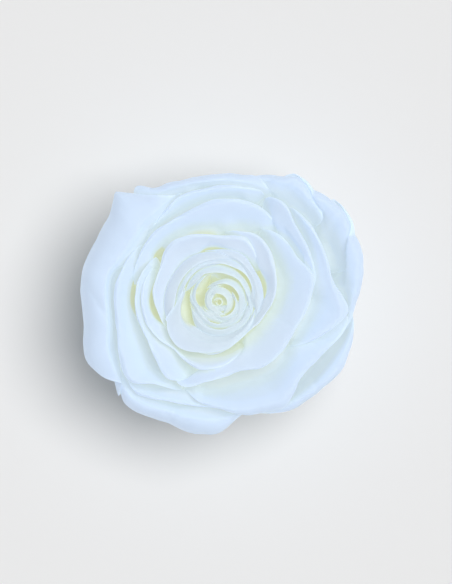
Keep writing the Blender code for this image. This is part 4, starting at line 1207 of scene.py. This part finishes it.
def turned(name, profile, sides):
    """A closed mesh turned round the axis. Above the stem its radius dips with the cosine of five turns."""
    turn = np.linspace(0, 2 * np.pi, sides, endpoint=False)
    dips = LOBE_DEPTH / HIP_RADIUS * (1 + np.cos(HIP_LOBES * turn)) / 2
    radius = profile[1:-1, :1] * (1 - dips * ease(profile[1:-1, 1:], STEM_TOP, HIP_HEIGHT))
    height = np.broadcast_to(profile[1:-1, 1:], radius.shape)
    rings = np.stack([radius * np.cos(turn), radius * np.sin(turn), height], axis=2).reshape(-1, 3)
    points = np.vstack([rings, [[0, 0, profile[0, 1]], [0, 0, profile[-1, 1]]]])
    index = np.arange(len(rings)).reshape(-1, sides)
    beside = np.roll(index, -1, axis=1)
    walls = np.stack([index[:-1], beside[:-1], beside[1:], index[1:]], axis=2).reshape(-1, 4)
    pairs = np.arange(0, sides, 2)
    ends = []
    for ring, pole in ((index[0], len(rings)), (index[-1][::-1], len(rings) + 1)):
        ends.append(np.stack([ring[(pairs + 2) % sides], ring[(pairs + 1) % sides], ring[pairs],
                              np.full(len(pairs), pole)], axis=1))
    return show(name, make_mesh(name, points, outwards(points, np.concatenate([walls, *ends]))))


hip = turned("hip_and_stem", hip_profile(), HIP_SIDES)
print("hip and stem:", len(hip.data.vertices), "points")

# %% [markdown]
# ## Green finish
#
# Hip, stem and sepals are leafy tissue, dyed or left a dull, blotched green. One plain green would look like
# plastic. So one function mixes two greens by a cloudy noise and lets each piece lay its own pattern over
# them. On the stem that is fine upright fibres, with the straw-coloured face of the cut.

# %% Green finish
def green_finish(name, greens, pattern, relief_height):
    """Blotched green under a pattern, which takes the start, the place and the green."""
    start, finish = new_material(name)
    place = start.node("ShaderNodeTexCoord", output="Object")
    blotches = place.noise(420.0, 5.0)
    colour, relief = pattern(start, place, blotches.eased(0.35, 0.65).mixed(*greens))
    bump = start.node("ShaderNodeBump", None, {"Strength": 0.5, "Distance": relief_height, "Height": relief})
    sockets = {"Base Color": colour, "Roughness": 0.5 + blotches * 0.2}
    sockets |= {"Normal": bump, "Specular IOR Level": 0.35}
    return finish(start.node("ShaderNodeBsdfPrincipled", None, sockets))


HIP_GREENS, FIBRE_GREEN = ((0.115, 0.185, 0.055, 1), (0.22, 0.30, 0.11, 1)), (0.32, 0.38, 0.18, 1)
CUT_TINT, CUT_HEIGHTS = (0.52, 0.50, 0.30, 1), (0.00008, 0.0002)


def fibres_and_cut(start, place, green):
    """Upright fibres over the green, and the pale face of the cut below it."""
    grain = place.mapped((1.0, 1.0, 0.15)).noise(2200.0, 3.0)
    body = place.part("Z").eased(*CUT_HEIGHTS).mixed(CUT_TINT, green)
    return (grain.eased(0.4, 0.7) * 0.25).mixed(body, FIBRE_GREEN), grain


calyx_finish = green_finish("calyx_green", HIP_GREENS, fibres_and_cut, 0.1 * MM)
hip.data.materials.append(calyx_finish)
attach(hip, "root")
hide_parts("receptacle")
print("calyx material:", calyx_finish.name)

# %% [markdown]
# ## Sepals
#
# Five narrow sepals once wrapped the bud. They bend down under the bloom until their tips rest on the table.
# Each could be bent from a flat leaf with a curve modifier. Here a formula gives the lance shape, the fall,
# the keel and the sunk midrib at once, and the same closed sheet gives it a thickness. A few random numbers
# keep the five from looking copied.

# %% Sepals
SEPAL_COUNT, SEPAL_FIRST_ANGLE = 5, 20.0
SEPAL_THICKNESS, THINNER_ASIDE, THINNER_ALONG = 0.6, 0.6, 0.5
SEPAL_FOOT_HALF_WIDTH, SEPAL_SWELL, SEPAL_TIP_HALF_WIDTH, SEPAL_POINT_POWER = 2.25, 2.7, 0.25, 0.6
SEPAL_FOOT_HEIGHT, SEPAL_REACH, SEPAL_KEEL, SEPAL_FOOT_GAP = 5.4, 20.5, 0.9, 0.1
SEPAL_LANDS = (0.88, 1.0)  # share of its length at which a sepal comes down to the table
SEPAL_CURL, SEPAL_NOTCH, SEPAL_NOTCHES, MIDRIB_DEPTH, MIDRIB_WIDTH = 0.35, 0.12, 7, 0.16, 0.16


def sepal_sheet(number, chance):
    """A lance-shaped sheet: its middle falls in a smooth S, and its width is a line times a power.

    Its sides rise with the square of the way across, its midrib is sunk in a bell, and a sine notches it.
    """
    along = np.linspace(0, 1, 61)[:, None]
    across = np.linspace(-1, 1, 25)[None, :]
    foot = HIP_RADIUS + SEPAL_FOOT_GAP
    radius = foot + (SEPAL_REACH - foot) * along + 0 * across
    width = (SEPAL_FOOT_HALF_WIDTH + SEPAL_SWELL * along) * (1 - along) ** SEPAL_POINT_POWER
    width = width + SEPAL_TIP_HALF_WIDTH
    fall = 1 - ease(along, 0, chance.uniform(*SEPAL_LANDS))
    height = SEPAL_THICKNESS / 2 + (SEPAL_FOOT_HEIGHT - SEPAL_THICKNESS / 2) * fall
    height = height + SEPAL_KEEL * across**2 * np.sqrt(fall) + SEPAL_CURL * across**2 * ease(along, 0.55, 1)
    height = height - MIDRIB_DEPTH * np.exp(-((across / MIDRIB_WIDTH) ** 2)) * (1 - along)
    lobe = 0.5 + 0.5 * np.sin(2 * np.pi * (SEPAL_NOTCHES * along + chance.random()))
    width = width * (1 - SEPAL_NOTCH * lobe * ease(along, 0.1, 0.4) * (1 - ease(along, 0.8, 1)))
    aside = width * across
    turn = math.radians(SEPAL_FIRST_ANGLE + 360 / SEPAL_COUNT * number)
    middle = np.stack([radius * math.cos(turn) - aside * math.sin(turn),
                       radius * math.sin(turn) + aside * math.cos(turn), height], axis=2)
    uv = np.stack([aside + 0 * along, radius + 0 * across], axis=2)
    thickness = SEPAL_THICKNESS * (1 - THINNER_ASIDE * across**2) * (1 - THINNER_ALONG * along) + 0 * radius
    return middle, thickness, uv


SEPAL_GREENS, VEIN_GREEN = ((0.11, 0.18, 0.055, 1), (0.20, 0.285, 0.10, 1)), (0.30, 0.38, 0.17, 1)
MIDRIB_GREEN, DRY_TINT, DRY_LENGTHS = (0.36, 0.43, 0.21, 1), (0.26, 0.20, 0.09, 1), (15.0, 20.5)


def veins_and_tip(start, place, green):
    """A pale midrib and veins over the green, and a tip that has dried brown."""
    sheet = start.node("ShaderNodeUVMap", {"uv_map": "Sheet"})
    veins = sheet.mapped((1.0, 0.12, 1.0)).noise(4.0, 4.0)
    midrib = 1 - start.math("ABSOLUTE", sheet.part("X")).eased(0.08, 0.4)
    veined = (veins.eased(0.45, 0.7) * 0.45).mixed(green, VEIN_GREEN)
    ribbed = (midrib * 0.7).mixed(veined, MIDRIB_GREEN)
    return (sheet.part("Y").eased(*DRY_LENGTHS) * 0.6).mixed(ribbed, DRY_TINT), veins + midrib * 0.5


sepal_finish = green_finish("sepal_green", SEPAL_GREENS, veins_and_tip, 0.12 * MM)
for number in range(SEPAL_COUNT):
    middle, thickness, uv = sepal_sheet(number, np.random.default_rng(number))
    offset = unit_normals(middle) * thickness[..., None] / 2
    sepal = closed_sheet(f"green_sepal_{number + 1}", middle - offset, middle + offset, {}, uv)
    sepal.data.materials.append(sepal_finish)
    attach(sepal, "root")
    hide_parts(f"sepal_{number + 1}")
print(SEPAL_COUNT, "sepals")

# %% [markdown]
# ## Floor and light
#
# The bloom stands on a plain pale table in a pale room. One soft lamp stands nearly overhead, a little to
# the right, so that a soft shadow shows on the left. An area lamp would light near and far parts of the
# table unevenly, so a sun lamp with a wide angle was chosen.

# %% Floor
FLOOR_HALF = 3.0
FLOOR_CORNERS = [(FLOOR_HALF * x, FLOOR_HALF * y, 0) for x, y in ((-1, -1), (1, -1), (1, 1), (-1, 1))]
FLOOR_TONES, FLOOR_MOTTLE = (grey(0.80), grey(0.76)), 0.02
floor_mesh = bpy.data.meshes.new("table")
floor_mesh.from_pydata(FLOOR_CORNERS, [], [(0, 1, 2, 3)])
floor = show("table", floor_mesh)
start, finish = new_material("pale_table")
mottle = start.node("ShaderNodeTexCoord", output="Object").noise(60.0, 2.0)
tone = (mottle * FLOOR_MOTTLE).mixed(*FLOOR_TONES)
sockets = {"Base Color": tone, "Roughness": 0.9, "Specular IOR Level": 0.0}
floor_mesh.materials.append(finish(start.node("ShaderNodeBsdfPrincipled", None, sockets)))
print("table:", 2 * FLOOR_HALF, "m wide")

# %% Light
ROOM_LIGHT, LAMP_SHARE = 0.29, 0.72  # of a table that is lit to its own colour
LAMP_AZIMUTH, LAMP_ELEVATION, LAMP_ANGLE = math.radians(22), math.radians(73), math.radians(34)
world = bpy.data.worlds.new("pale_room")
bpy.context.scene.world = world
world.use_nodes = True
room = world.node_tree.nodes["Background"].inputs
room["Color"].default_value, room["Strength"].default_value = grey(1), ROOM_LIGHT
lamp = bpy.data.lights.new("soft_lamp", "SUN")
lamp.energy, lamp.angle = LAMP_SHARE * math.pi / math.sin(LAMP_ELEVATION), LAMP_ANGLE
show("soft_lamp", lamp).rotation_euler = (0, math.pi / 2 - LAMP_ELEVATION, LAMP_AZIMUTH)
print("lamp", round(math.degrees(LAMP_ELEVATION)), "degrees up, strength", round(lamp.energy, 2))

# %% [markdown]
# ## Camera
#
# The camera looks straight down. From close by, the tall heart would hide the low rim petals, so it stands a
# metre up with a long lens, whose length follows from the bloom's width and its share of the frame. The view
# transform is the plain one, because the pale tints would grey under a filmic curve. Light bounces often
# between pale petals, so it is followed for more bounces than usual.

# %% Camera
VIEW_HEIGHT = 1.0  # metres above the table
OUTLINE_HEIGHT = 28 * MM  # where the bloom is widest
BLOOM_SHARE = 0.6327  # of the frame's width that the bloom takes
OFF_MIDDLE = (0.34 * MM, 2.52 * MM)  # from the origin, so that the bloom sits low in the frame
SENSOR_WIDTH = 36
BOUNCES, DIFFUSE_BOUNCES = 24, 16
bloom_width = solid_bounds[1][0] - solid_bounds[0][0]
lens = bpy.data.cameras.new("camera")
lens.sensor_fit, lens.sensor_width = "HORIZONTAL", SENSOR_WIDTH
lens.lens = SENSOR_WIDTH * (VIEW_HEIGHT - OUTLINE_HEIGHT) / (bloom_width / BLOOM_SHARE)
lens.clip_start, lens.clip_end = 0.05, 20
camera = show("camera", lens)
camera.location = (*OFF_MIDDLE, VIEW_HEIGHT)
scene = bpy.context.scene
bpy.context.scene.camera = camera
scene.view_settings.view_transform = "Standard"
scene.cycles.max_bounces, scene.cycles.diffuse_bounces = BOUNCES, DIFFUSE_BOUNCES
print("lens", round(lens.lens), "mm at", VIEW_HEIGHT, "m")

# %% [markdown]
# ## Sizes and finish
#
# A dressed part has to keep the size of its solids. The box of the solids is printed.

# %% Sizes and finish
def plain(bounds):
    """A box as lists of plain numbers."""
    return [[float(value) for value in corner] for corner in bounds]


print("solids", plain(solid_bounds))
